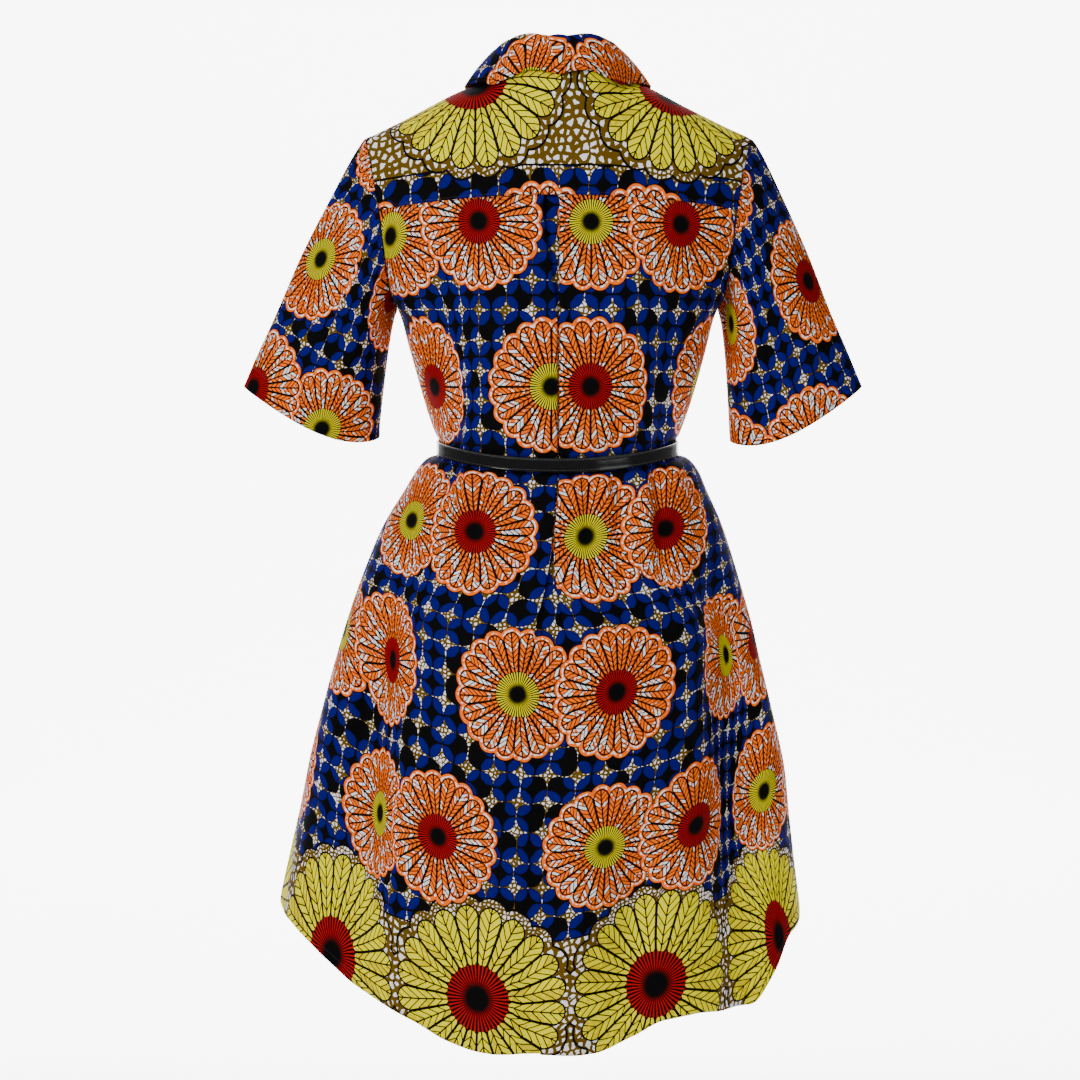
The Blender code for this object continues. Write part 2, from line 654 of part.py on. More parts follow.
def make_collar(material):
    stations = np.linspace(-NECK_END, NECK_END, 2 * COLLAR_STATIONS + 1)
    seam, out, up = neck_frame(stations)
    heights = np.linspace(0, STAND_HEIGHT, STAND_ROWS)
    front = smoothstep(90, 180, np.abs(stations))[:, None]
    gap = STAND_GAP_BACK + (STAND_GAP_FRONT - STAND_GAP_BACK) * front
    stand = [seam + up * (gap + h) - out * STAND_LEAN * (h / STAND_HEIGHT) ** 1.5 for h in heights]
    stand = np.array(stand)
    sheet_of("collar_stand", stand, COLLAR_CLOTH, material, stand * (0, 0, 1))
    edge_x_of, edge_turn_of = smooth_curve(COLLAR_EDGE, 1), smooth_curve(COLLAR_EDGE, 2)
    size = np.abs(stations) * 180 / NECK_END
    x, turn = np.sign(stations) * edge_x_of(size), edge_turn_of(size)
    lower = over_point(x, turn)
    lift = unit(np.cross(over_point(x, turn + 1) - lower, over_point(x + 1, turn) - lower))
    lift *= np.sign(np.sum(lift * (lower * (1, 1, 0) + UPWARDS * 60), -1, keepdims=True))
    lower = lower + lift * (COLLAR_CLEAR + COLLAR_CLOTH)
    start = stand[-1] - out * COLLAR_CLOTH + up * COLLAR_START
    wider = 1 + COLLAR_FRONT_REACH * front
    rows = [start + up * rise + out * reach * wider for rise, reach in COLLAR_ROLL]
    rolled = rows[-1]
    for share in COLLAR_FALL:
        bulge = (out + up * 0.5) * COLLAR_BULGE * share * (1 - share)
        rows.append(rolled + (lower - rolled) * share + bulge)
    sheet_of("collar", np.array(rows), COLLAR_CLOTH, material, (0, 0, SPRING))


def belt_level(face, angle):
    dip = BELT_BACK_DIP if face > 0 else BELT_FRONT_DIP
    return BELT_SIDE - dip * np.cos(np.radians(angle)) ** 2


def belt_course():
    """The belt's inner face round the waist, by length from the front's centre towards +x."""
    quarter = np.linspace(0, 90, 91)
    front_left = form_point(-1, 1, quarter, belt_level(-1, quarter))
    back_left = form_point(1, 1, quarter, belt_level(1, quarter))[::-1]
    left = np.concatenate([front_left, back_left[1:]])
    loop = np.concatenate([left, left[-2:0:-1] * (-1, 1, 1)])
    out = unit(np.cross(np.roll(loop, -1, 0) - np.roll(loop, 1, 0), (0, 0, 1)))
    rise = 1 - smoothstep(0.45, 1.0, np.abs(loop[:, 0]) / PLACKET_RISE_HALF)
    rise = np.where(loop[:, 1] < 0, rise, 0)
    loop = loop + out * (BELT_OFF_CLOTH + (BELT_OFF_PLACKET - BELT_OFF_CLOTH) * rise)[:, None]
    return np.vstack([loop, loop[:1]]), np.vstack([out, out[:1]]), lengths_round(loop)


def belt_at(course, along):
    loop, out, length = course
    along = np.mod(along, length[-1])
    point = np.stack([np.interp(along, length, loop[:, c]) for c in range(3)], -1)
    normal = unit(np.stack([np.interp(along, length, out[:, c]) for c in range(3)], -1))
    return point, normal


def make_belt(material):
    """One strip from the buckle's bar all round the waist and over its own start."""
    course = belt_course()
    around = course[2][-1]
    body = np.linspace(BUCKLE_WIRE + TAIL_GAP, around - TAIL_RUN_UP - BELT_STEP, BELT_POINTS)
    tail = np.linspace(around - TAIL_RUN_UP, around + TAIL_LENGTH, TAIL_POINTS)
    along = np.concatenate([body, tail])
    lift = (BELT_THICK + TAIL_GAP) * smoothstep(around - 12, around - 1.5, along)
    point, normal = belt_at(course, along)
    face = point + normal * (BELT_THICK + lift)[:, None]
    half = np.array([0, 0, BELT_WIDTH / 2])
    strip = np.stack([face + half, face - half])
    sheet_of("belt", strip, BELT_THICK, material, round_the_body(strip))
    return course


def wire_object(name, points, radius, material, closed):
    curve = bpy.data.curves.new(name, "CURVE")
    curve.dimensions = "3D"
    curve.bevel_depth = radius * MM
    curve.bevel_resolution = 1
    curve.use_fill_caps = True
    spline = curve.splines.new("POLY")
    spline.points.add(len(points) - 1)
    for target, point in zip(spline.points, points):
        target.co = (*(np.asarray(point) * MM), 1)
    spline.use_cyclic_u = closed
    obj = bpy.data.objects.new(name, curve)
    bpy.context.scene.collection.objects.link(obj)
    return place(obj, material)


def make_buckle(course, metal, leather):
    """Frame, prong and keeper, placed by length along the belt, height off its course and width."""

    def at(along, off, across):
        point, normal = belt_at(course, np.array([along]))
        return point[0] + normal[0] * off + np.array([0, 0, across])

    bar, outer = BUCKLE_WIRE + 0.3, BELT_THICK + BUCKLE_WIRE + 0.5
    half, end, corner = BUCKLE_WIDTH / 2, -BUCKLE_LENGTH, BUCKLE_CORNER
    upper = [
        # along, off, across
        (0.0, bar, half - corner),
        (-corner, bar + 0.4, half),
        (end + corner, outer - 0.3, half),
        (end, outer, half - corner),
    ]
    lower = [(along, off, -across) for along, off, across in upper[::-1]]
    wire_object("buckle_frame", [at(*p) for p in upper + lower], BUCKLE_WIRE, metal, closed=True)
    tail_top = 2 * BELT_THICK + TAIL_GAP
    prong = [
        # along, off, across
        (2.0, tail_top + 1.2, 0),
        (-4.0, tail_top + 1.3, 0),
        (-10.0, tail_top + 1.6, 0),
        (end - 1.6, outer + 2 * BUCKLE_WIRE + 0.3, 0),
    ]
    wire_object("buckle_prong", [at(*p) for p in prong], PRONG_WIRE, metal, closed=False)
    low, high = -0.3 - KEEPER_WALL, tail_top + LAY_GAP + KEEPER_WALL
    wide = BELT_WIDTH / 2 + LAY_GAP + KEEPER_WALL
    ring = [(low, -wide), (high, -wide), (high, wide), (low, wide)]
    ends = (KEEPER_PLACE, KEEPER_PLACE + KEEPER_LENGTH)
    rows = np.array([[at(along, off, across) for off, across in ring] for along in ends])
    sheet_of("belt_keeper", rows, KEEPER_WALL, leather, rows.mean(axis=1, keepdims=True), closed=True)


def make_buttons(placket, out, material):
    heights = placket[:, 1, 2]
    for number, height in enumerate(BUTTON_HEIGHTS, 1):
        row = int(np.clip(np.searchsorted(-heights, -height), 1, len(heights) - 1))
        share = (height - heights[row - 1]) / (heights[row] - heights[row - 1])
        point = placket[row - 1, 1] * (1 - share) + placket[row, 1] * share
        normal = unit(out[row - 1, 1] * (1 - share) + out[row, 1] * share)
        centre = point + normal * (LAY_GAP + BUTTON_THICK / 2)
        bpy.ops.mesh.primitive_cylinder_add(
            vertices=BUTTON_SIDES, radius=BUTTON_WIDTH / 2 * MM, depth=BUTTON_THICK * MM
        )
        button = bpy.context.object
        button.name = button.data.name = f"button_{number}"
        turn = Vector(normal).to_track_quat("Z", "Y").to_matrix().to_4x4()
        button.matrix_world = Matrix.Translation(Vector(centre * MM)) @ turn
        rounding = button.modifiers.new("Rounded rim", "BEVEL")
        rounding.width = BUTTON_RIM * MM
        rounding.segments = 1
        rounding.limit_method = "ANGLE"
        place(button, material)


for old in list(bpy.data.objects):
    bpy.data.objects.remove(old, do_unlink=True)
dress_pieces = bpy.data.collections.new("shirt_dress")
bpy.context.scene.collection.children.link(dress_pieces)

blue_cloth = material_of("printed_cotton", (0.05, 0.1, 0.42), 0.75)
orange_cloth = material_of("printed_cotton_collar", (0.8, 0.36, 0.12), 0.75)
gold_cloth = material_of("printed_cotton_yoke", (0.6, 0.5, 0.05), 0.75)
patent = material_of("black_patent_leather", (0.012, 0.012, 0.013), 0.12)
metal = material_of("black_metal", (0.06, 0.06, 0.065), 0.3, 1.0)
button_plastic = material_of("button_plastic", (0.015, 0.02, 0.06), 0.3)

back_grid = make_back(blue_cloth)
front_grids = {side: make_front(side, blue_cloth) for side in (1, -1)}
placket_grid, placket_out = make_placket(front_grids[1], front_grids[-1], blue_cloth)
yoke_grid = make_yoke(back_grid, front_grids[1], gold_cloth)
for sleeve_side in (1, -1):
    make_sleeve(sleeve_side, back_grid, front_grids[1], yoke_grid, blue_cloth)
make_collar(orange_cloth)
belt_line = make_belt(patent)
make_buckle(belt_line, metal, patent)
make_buttons(placket_grid, placket_out, button_plastic)
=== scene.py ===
"""Look of the short-sleeved shirt dress: printed cotton, patent belt, buttons and stitches on the CAD frame."""

import math

import bpy
import numpy as np
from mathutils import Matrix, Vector


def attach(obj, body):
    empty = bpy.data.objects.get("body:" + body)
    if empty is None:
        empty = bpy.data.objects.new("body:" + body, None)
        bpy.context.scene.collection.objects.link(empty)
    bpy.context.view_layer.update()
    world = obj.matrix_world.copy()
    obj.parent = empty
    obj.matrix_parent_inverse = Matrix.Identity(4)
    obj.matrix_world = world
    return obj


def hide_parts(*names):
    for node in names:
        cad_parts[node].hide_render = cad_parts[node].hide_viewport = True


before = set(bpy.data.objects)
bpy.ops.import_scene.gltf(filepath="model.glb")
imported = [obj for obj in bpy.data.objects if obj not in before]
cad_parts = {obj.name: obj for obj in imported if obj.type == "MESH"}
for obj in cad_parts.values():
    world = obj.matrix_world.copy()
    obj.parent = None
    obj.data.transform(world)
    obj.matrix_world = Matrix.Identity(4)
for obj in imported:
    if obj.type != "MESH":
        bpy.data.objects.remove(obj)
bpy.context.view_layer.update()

# The studio: a pale paper sweep under and behind the dress, soft lights, and a camera at eye height
# behind the back. None of it is part of the dress.

MM = 0.001
EYE_HEIGHT_ANGLE, EYE_REACH, FRAME_WIDTH, SENSOR = math.radians(5.5), 2.6, 1.145, 36.0
LOOK_AT = Vector((0.0186, 0.0, -0.482))
PAPER_COLOUR, PAPER_GLOW, GLOW_ENDS, GLOW_SIDES = (0.86, 0.86, 0.87), 8.0, (-0.9, 0.0), (1.6, 2.0)
SWEEP_FLOOR, SWEEP_NEAR, SWEEP_FAR, SWEEP_WIDTH, SWEEP_TOP, SWEEP_CURVE = -1.3, 4.5, -4.0, 9.0, 5.0, 1.8
# Soft lights: place, what they face, width and height, power in watts
SOFT_LIGHTS = {
    "key_light": ((2.3, 2.7, 1.4), (0, 0, -0.5), (1.0, 1.0), 116),
    "fill_light": ((-2.4, 2.8, 0.3), (0, 0, -0.5), (1.8, 1.8), 26),
    "top_light": ((0.0, 0.4, 2.6), (0, 0, -0.4), (2.4, 2.4), 24),
    "front_light": ((0.5, -3.0, 1.0), (0, 0, -0.5), (2.0, 2.0), 8),
}
SKY_COLOUR, SKY_STRENGTH = (1.0, 1.0, 1.0), 0.3


class Shade:
    """A shader socket. Python arithmetic on it adds the Math nodes that work it out."""

    def __init__(self, tree, socket=None):
        self.tree = tree
        self.socket = socket

    def add(self, kind, output, inputs, **settings):
        """Any other node: its settings first, then the values or links of its sockets."""
        node = self.tree.nodes.new(kind)
        for setting, value in settings.items():
            setattr(node, setting, value)
        for name, value in inputs.items():
            if isinstance(value, Shade):
                self.tree.links.new(value.socket, node.inputs[name])
            else:
                node.inputs[name].default_value = value
        return Shade(self.tree, node.outputs[output])

    def maths(self, operation, *others):
        return self.add("ShaderNodeMath", 0, dict(enumerate((self, *others))), operation=operation)

    def __add__(self, other):
        return self.maths("ADD", other)

    __radd__ = __add__

    def __sub__(self, other):
        return self.maths("SUBTRACT", other)

    def __rsub__(self, other):
        return self.add("ShaderNodeMath", 0, {0: other, 1: self}, operation="SUBTRACT")

    def __mul__(self, other):
        return self.maths("MULTIPLY", other)

    __rmul__ = __mul__

    def __truediv__(self, other):
        return self.maths("DIVIDE", other)

    def __mod__(self, other):
        return self.maths("FLOORED_MODULO", other)

    def __abs__(self):
        return self.maths("ABSOLUTE")

    def __lt__(self, other):
        return self.maths("LESS_THAN", other)

    def __gt__(self, other):
        return self.maths("GREATER_THAN", other)

    def ramp(self, low, high):
        """0 below low, 1 above high, smooth between."""
        inputs = {"Value": self, "From Min": low, "From Max": high}
        return self.add("ShaderNodeMapRange", 0, inputs, interpolation_type="SMOOTHSTEP")

    def chosen(self, where_0, where_1):
        """A number: the first where this mask is 0, the second where it is 1."""
        return self.add("ShaderNodeMix", 0, {0: self, 2: where_0, 3: where_1}, data_type="FLOAT")

    def colour(self, where_0, where_1):
        """A colour: the first where this mask is 0, the second where it is 1."""
        sides = [side if isinstance(side, Shade) else (*side, 1) for side in (where_0, where_1)]
        return self.add("ShaderNodeMix", 2, {0: self, 6: sides[0], 7: sides[1]}, data_type="RGBA")

    def on_object(self):
        """A point's place on its piece."""
        return self.add("ShaderNodeTexCoord", "Object", {})

    def axes(self):
        """The first two numbers of a place."""
        first = self.add("ShaderNodeSeparateXYZ", 0, {"Vector": self})
        return first, Shade(self.tree, first.socket.node.outputs[1])

    def noise(self, scale, detail, output="Fac", **more):
        """Noise at this place."""
        return self.add("ShaderNodeTexNoise", output, {"Vector": self, "Scale": scale, "Detail": detail, **more})

    def into(self, shader, name):
        """Sets a socket of the finish from this."""
        self.tree.links.new(self.socket, shader.inputs[name])


def new_finish(name, roughness, **constants):
    """A material with its Principled shader, constants set on the shader's own sockets."""
    material = bpy.data.materials.new(name)
    material.use_nodes = True
    shader = material.node_tree.nodes["Principled BSDF"]
    shader.inputs["Roughness"].default_value = roughness
    for socket, value in constants.items():
        shader.inputs[socket.replace("_", " ")].default_value = value
    return material, shader, Shade(material.node_tree)


def into_scene(name, data):
    thing = bpy.data.objects.new(name, data)
    bpy.context.scene.collection.objects.link(thing)
    return thing


def mesh_piece(name, points, faces, material):
    mesh = bpy.data.meshes.new(name)
    mesh.from_pydata(np.asarray(points, float).tolist(), [], [list(map(int, face)) for face in faces])
    mesh.shade_smooth()
    mesh.materials.append(material)
    return into_scene(name, mesh)


eye = LOOK_AT + EYE_REACH * Vector((0, math.cos(EYE_HEIGHT_ANGLE), math.sin(EYE_HEIGHT_ANGLE)))
camera = into_scene("camera", bpy.data.cameras.new("camera"))
camera.data.sensor_width = SENSOR
camera.data.lens = SENSOR * EYE_REACH / FRAME_WIDTH
camera.location = eye
camera.rotation_euler = (LOOK_AT - eye).to_track_quat("-Z", "Y").to_euler()
bpy.context.scene.camera = camera

for light_name, (light_place, light_target, light_size, light_power) in SOFT_LIGHTS.items():
    light = bpy.data.lights.new(light_name, "AREA")
    light.shape = "RECTANGLE"
    light.size, light.size_y = light_size
    light.energy = light_power
    light_object = into_scene(light_name, light)
    light_object.location = light_place
    aim = Vector(light_target) - Vector(light_place)
    light_object.rotation_euler = aim.to_track_quat("-Z", "Y").to_euler()

sky = bpy.data.worlds.new("studio_sky")
sky.use_nodes = True
background = sky.node_tree.nodes["Background"]
background.inputs["Color"].default_value = (*SKY_COLOUR, 1)
background.inputs["Strength"].default_value = SKY_STRENGTH
bpy.context.scene.world = sky

paper, paper_shader, shade = new_finish("sweep_paper", 0.9, Emission_Strength=PAPER_GLOW)
grain = shade.add("ShaderNodeTexNoise", "Fac", {"Scale": 40.0, "Detail": 2.0})
tone = (grain * 0.04 + 0.98).colour((0, 0, 0), PAPER_COLOUR)
tone.into(paper_shader, "Base Color")
across_paper, along_paper = shade.on_object().axes()
unlit = along_paper.ramp(*GLOW_ENDS).maths("MAXIMUM", abs(across_paper).ramp(*GLOW_SIDES))
unlit.colour(tone, (0, 0, 0)).into(paper_shader, "Emission Color")
bend = [math.radians(a) for a in range(0, 91, 9)]
profile = [(SWEEP_NEAR, SWEEP_FLOOR)]
profile += [
    (SWEEP_FAR + SWEEP_CURVE * (1 - math.sin(a)), SWEEP_FLOOR + SWEEP_CURVE * (1 - math.cos(a))) for a in bend
]
profile.append((SWEEP_FAR, SWEEP_TOP))
sweep_points = [(side * SWEEP_WIDTH / 2, y, z) for y, z in profile for side in (-1, 1)]
sweep_faces = [(2 * i, 2 * i + 2, 2 * i + 3, 2 * i + 1) for i in range(len(profile) - 1)]
mesh_piece("paper_sweep", sweep_points, sweep_faces, paper)

# Back panel: one piece of wax-printed cotton from the yoke seam to the curved shirt-tail hem. An inverted
# pleat is folded into its centre under the yoke, lies open below the belt, and the belt gathers the waist.

CLOTH = 0.9
SEAM_GAP, LAY_GAP, CAD_CLOTH = 0.4, 0.4, 1.3
SEAM_ROLL = 0.5
SPRING, SHOULDER_ROUNDING = -150.0, 2.3
ARMHOLE_TOP, ARMPIT = -100.0, -240.0
NECK_WIDTH, NECK_BACK, NECK_FRONT, NECK_HALF_DEPTH = 67.0, 68.0, 84.0, 77.0
YOKE_SEAM_CENTRE, YOKE_SEAM_EDGE = -123.0, -137.0
BELT_SIDE, BELT_BACK_DIP, BELT_FRONT_DIP, DIP_REACH = -384.0, 13.0, 6.0, 110.0
SKIRT_TOP, FOLD_FADE, FOLD_LENGTH = -450.0, 260.0, 420.0
BODY_HALF_DEPTH = 120.0
SETTLE, CREASE_DEPTH, BODY_SLACK = 12, 1.4, 0.7


def table(*rows):
    return np.array(rows, float)


# The form of the body, as level sections
FORM = table(
    # z, half_width, back, front, side, exponent, sway
    (70, 205, 97, -84, 0, 2.6, 0),
    (-60, 205, 97, -86, 0, 2.6, 0),
    (-100, 205, 97, -99, -2, 2.6, 0),
    (-150, 203, 98, -117, -6, 2.6, 0),
    (-190, 192, 99, -131, -10, 2.5, 0),
    (-220, 179, 99, -139, -14, 2.4, 0),
    (-240, 168, 98, -143, -16, 2.35, 0),
    (-277, 158, 96, -145, -19, 2.3, 0),
    (-315, 147.5, 93, -140, -20, 2.25, 0),
    (-341, 140, 90, -134, -20, 2.2, 0),
    (-360, 133.5, 89, -129, -20, 2.2, 0),
    (-371, 129, 86, -125, -20, 2.2, 0),
    (-376, 126, 83, -122, -20, 2.2, 0),
    (-392.2, 126, 83, -122, -20, 2.2, 0),
    (-395.5, 137, 88, -123, -20, 2.2, 0),
    (-405, 147, 95, -127, -20, 2.2, 0),
    (-430, 161, 105, -144, -21, 2.2, 2),
    (-468, 181, 116, -162, -22, 2.2, 5),
    (-507, 196, 126, -174, -23, 2.15, 7),
    (-559, 213, 137, -186, -24, 2.1, 9),
    (-612, 227, 147, -197, -25, 2.1, 11),
    (-664, 240, 156, -206, -25, 2.1, 12),
    (-717, 253, 164, -214, -25, 2.1, 13),
    (-770, 262, 171, -221, -25, 2.1, 15),
    (-822, 272, 178, -227, -25, 2.1, 17),
    (-875, 281, 184, -232, -25, 2.1, 19),
    (-1000, 292, 196, -242, -25, 2.1, 20),
)
RIDGE = table(
    # x, z
    (0, 58),
    (28, 47),
    (50, 22),
    (67, 1),
    (80, -4.5),
    (100, -12.5),
    (133, -28.8),
    (159, -41.5),
    (205, -63),
)
ARMHOLE = table(
    # z, half_width
    (-240, 168),
    (-225, 173.5),
    (-201, 177),
    (-170, 180),
    (-137, 184),
    (-103, 190),
    (-60, 200),
)
SKIRT_FOLDS = [
    # face, side, top_angle, hem_angle, half_width, depth, top
    (1, 1, 54, 42, 8.5, -20, -425),
    (1, 1, 74, 64, 9.0, 9, -470),
    (1, 1, 25, 19, 8.0, -8, -600),
    (1, -1, 60, 46, 8.5, -23, -425),
    (1, -1, 76, 68, 9.0, 10, -470),
    (1, -1, 24, 14, 7.5, -10, -620),
    (-1, 1, 48, 40, 9.0, -20, -425),
    (-1, 1, 70, 64, 9.0, 8, -470),
    (-1, 1, 26, 20, 7.0, -7, -620),
    (-1, -1, 44, 37, 9.0, -18, -425),
    (-1, -1, 68, 60, 9.0, 9, -470),
    (-1, -1, 25, 18, 7.0, -7, -600),
]
HEM = table(
    # angle, back_left, back_right, front
    (0, -984, -984, -930),
    (10, -981, -983, -928),
    (18, -972, -969, -925),
    (25, -955, -953, -921),
    (33, -941, -950, -915),
    (42, -930, -956, -907),
    (50, -908, -957, -899),
    (58, -888, -926, -890),
    (66, -875, -888, -881),
    (78, -871, -879, -874),
    (90, -871, -871, -871),
)
PLEAT = table(
    # along, folded_place, folded_depth
    (0.0, 0.0, 5.0),
    (14.2, 14.2, 5.0),
    (15.2, 15.2, 3.9),
    (16.2, 14.2, 2.8),
    (28.4, 1.9, 2.5),
    (29.4, 0.8, 1.3),
    (30.4, 1.8, 0.0),
    (46.0, 17.0, 0.0),
)
PLEAT_OPENS, PLEAT_OPEN, PLEAT_VALLEY, PLEAT_SPREAD = -470.0, -645.0, 7.0, 0.93
PLEAT_RECESS, RECESS_TOP, RECESS_END = 14.0, -123.0, -262.0
PLEAT_STEPS = (5, 1, 1, 4, 1, 1, 4)
# Rows and columns of the cloth's mesh
ARMHOLE_ROWS, ROW_STEPS, SKIRT_ROWS = 31, 4, 100
BODY_LEVELS = (-263, -288, -313, -336, -354, -367, -376, -392.2, -395.5, -404, -419, -434, SKIRT_TOP)
BACK_COLUMNS, FRONT_COLUMNS, YOKE_EDGE_COLUMNS = 73, 67, 40
# Creases of the back: from (x, z) to (x, z) in mm, half width, depth (a ridge has a positive one), and
# whether it starts full at a seam or at the belt
BACK_CREASES = [
    # x1, z1, x2, z2, half_width, depth, full_at_start
    (110, -377, 96, -318, 6, -3.2, 1),
    (97, -377, 84, -330, 5, 2.2, 1),
    (27, -371, 31, -322, 5, -2.6, 1),
    (13, -371, 10, -335, 4, 2.0, 1),
    (-62, -374, -57, -312, 6, -3.4, 1),
    (-75, -375, -78, -330, 5, 2.4, 1),
    (-106, -379, -112, -325, 6, -2.6, 1),
    (112, -396, 134, -520, 7, -5.0, 1),
    (92, -398, 101, -505, 7, 3.6, 1),
    (76, -400, 82, -470, 5, -3.4, 1),
    (52, -401, 56, -498, 6, 2.6, 1),
    (34, -402, 38, -560, 6, -4.2, 1),
    (-30, -402, -32, -520, 6, -3.8, 1),
    (-48, -402, -52, -480, 6, 2.8, 1),
    (-62, -401, -66, -590, 7, -4.6, 1),
    (-84, -399, -92, -500, 7, 3.4, 1),
    (-101, -398, -112, -560, 7, -4.4, 1),
    (-122, -396, -140, -500, 6, 3.0, 1),
    (165, -236, 118, -300, 10, -3.4, 0),
    (166, -222, 132, -262, 7, 2.4, 0),
    (-164, -238, -112, -306, 10, -3.2, 0),
    (-166, -224, -128, -268, 7, 2.2, 0),
    (150, -140, 128, -222, 12, -2.0, 0),
    (-150, -144, -132, -228, 12, -2.2, 0),
    (185, -560, 222, -760, 13, -6.0, 0),
    (152, -640, 176, -890, 16, 5.0, 0),
    (-150, -560, -182, -800, 13, -6.0, 0),
    (-205, -600, -232, -860, 14, 5.5, 0),
    (-88, -760, -60, -985, 20, -7.0, 0),
    (-20, -800, 8, -990, 22, 5.0, 0),
    (70, -740, 84, -975, 17, -5.0, 0),
    (112, -800, 138, -950, 15, 4.5, 0),
]
# Print: rows of paired flowers, each row's pairs set over, and a border of large flowers along the hem
PAIR_STEP, PAIR_REPEAT, PAIR_SHIFT, PAIR_START = 102.0, 278.0, 102.0, 64.0
FIRST_ROW, ROW_STEP = 151.0, 154.0
BORDER_STEP, BORDER_START, BORDER_SCALE, BAND_TOP = 190.0, 126.5, 1.5, 61.0
BORDER_HEIGHT = -918.0
PETALS, PETAL_ROUND, PETAL_SLOPE, FIELD_RIM, BORDER_RIM = 20, 53.0, 0.152, -5.6, -7.0
DISC, RAYS = 22.0, 48
# Ground of the print, in cells: leaves between black eyes and pebbled stars, some leaves inked over
GROUND_CELL, CELL_POWER, GROUND_WANDER, PRINT_DRIFT = 28.5, 2.5, 11.0, 1.6
LEAF_OUTSIDE, LEAF_INSIDE, LEAF_GAP, STAR_EDGE, INKED_SHARE = 0.476, 0.500, 0.036, 0.494, 0.17
PEBBLE_EDGE, BAND_PEBBLES, FIELD_PEBBLES, BAND_LINE = 0.25, 132.0, 230.0, 0.8
# Petals, first of the border's flowers and then of the field's: vein slope, step and share, midrib and edge
VEIN_SLOPE, VEIN_STEP, VEIN_INK, MIDRIB, PETAL_EDGE = (1.3, 1.05), (6.2, 4.9), (0.19, 0.26), (0.50, 0.75), (0.7, 0.95)
PALE_FROM, RAY_SHARE, RAYS_FADE = 0.85, (0.22, 0.23), (7.0, 13.0)
RIM_LINE, RIM_LINE_WAVES, RIM_LINE_HALF, RIM_INK, RIM_START = 1.9, 6.0, 0.35, (1.5, 1.0), -0.5
# Hand printing: scales of the noise that shifts, specks and bends the print, and how uneven it makes edges
DRIFT_SCALE, SPECK_SCALE, WANDER_SCALE = 46.0, 240.0, 21.0
RAGGED_EDGE, PEBBLE_SPECKS, PEBBLE_WAVES, PALE_CHANCE, PALE_SPECKS = 0.06, 0.45, 0.5, 0.55, 0.9
# Factors that give each cell of the print a number of its own
TURN_MARK, STEP_MARK, HALF_MARK = 7.31, 3.17, 1.7
BLUE, BLACK, OLIVE, CREAM = (0.003, 0.001, 0.13), (0.001, 0.001, 0.0012), (0.11, 0.058, 0.0), (0.84, 0.82, 0.83)
ORANGE, YELLOW, GOLD, RED = (0.92, 0.14, 0.0), (0.82, 0.72, 0.0), (0.66, 0.52, 0.0), (0.40, 0.0, 0.001)
# How the print lies on the hanging cloth: how far its rows sink, where each side's folds take cloth up, and
# how far the middle is pulled across
PRINT_LIE = table(
    # z, row_ease, left_fold, left_taken, right_fold, right_taken, pulled
    (-100, -3, 100, 0, 100, 8, 0),
    (-158, -2, 100, 3, 100, 10, 0),
    (-318, 10, 100, 40, 100, 18, 0),
    (-465, 18, 125, 19, 95, 14, 0),
    (-610, 27, 155, 32, 195, 70, 8),
    (-770, 30, 160, 32, 190, 62, 0),
    (-912, 30, 170, 0, 195, 0, 0),
    (-1000, 30, 170, 0, 195, 0, 0),
)

# How much the print climbs towards the sides, in mm at PRINT_SIDE from the middle, and between which heights
PRINT_SIDE, PRINT_SIDE_RISE = 171, ((20, -430, -560), (13, -300, -180), (-10, -800, -910))
HEM_PRINT_TILT, TAKEN_REACH, FRONT_PRINT_DROP, WEAVE = 9.0, 24, 40, 0.0009


def smooth_curve(table, column=1):
    """A monotone cubic through a table's column, against its first column."""
    rows = table[np.argsort(table[:, 0])]
    at, value = rows[:, 0], rows[:, column]
    step = np.diff(at)
    rise = np.diff(value) / step
    slope = np.concatenate([rise[:1], np.zeros(len(at) - 2), rise[-1:]])
    for i in range(1, len(at) - 1):
        if rise[i - 1] * rise[i] > 0:
            before, after = 2 * step[i] + step[i - 1], step[i] + 2 * step[i - 1]
            slope[i] = (before + after) / (before / rise[i - 1] + after / rise[i])

    def read(where):
        where = np.clip(np.asarray(where, float), at[0], at[-1])
        i = np.clip(np.searchsorted(at, where) - 1, 0, len(step) - 1)
        t = (where - at[i]) / step[i]
        start = value[i] * (1 + 2 * t) * (1 - t) ** 2 + slope[i] * step[i] * t * (1 - t) ** 2
        end = value[i + 1] * t**2 * (3 - 2 * t) + slope[i + 1] * step[i] * t**2 * (t - 1)
        return start + end

    return read


half_width, back_y, front_y, side_y, exponent, sway = (smooth_curve(FORM, c) for c in range(1, 7))
ridge = smooth_curve(RIDGE)
armhole_x = smooth_curve(ARMHOLE)
hem_curves = {(1, 1): smooth_curve(HEM, 1), (1, -1): smooth_curve(HEM, 2)}
hem_curves[(-1, 1)] = hem_curves[(-1, -1)] = smooth_curve(HEM, 3)


def smoothstep(low, high, value):
    t = np.clip((value - low) / (high - low), 0, 1)
    return t * t * (3 - 2 * t)


def unit(vectors):
    vectors = np.asarray(vectors, float)
    return vectors / np.maximum(np.linalg.norm(vectors, axis=-1, keepdims=True), 1e-9)


def waist_shift(face, angle, z):
    dip = BELT_BACK_DIP if face > 0 else BELT_FRONT_DIP
    return dip * np.cos(np.radians(angle)) ** 2 * np.exp(-(((z - BELT_SIDE) / DIP_REACH) ** 4))


def dipped(face, angle, level):
    z = level
    for _ in range(SETTLE):
        z = level - waist_shift(face, angle, z)
    return z


def share_up(x, z):
    """How far up a point is between the foot of the shoulders' curve and their ridge."""
    return np.clip((z - SPRING) / (ridge(np.abs(x)) - SPRING), 0, 1)


def shoulder_cap(rise):
    return (1 - rise**SHOULDER_ROUNDING) ** (1 / SHOULDER_ROUNDING)


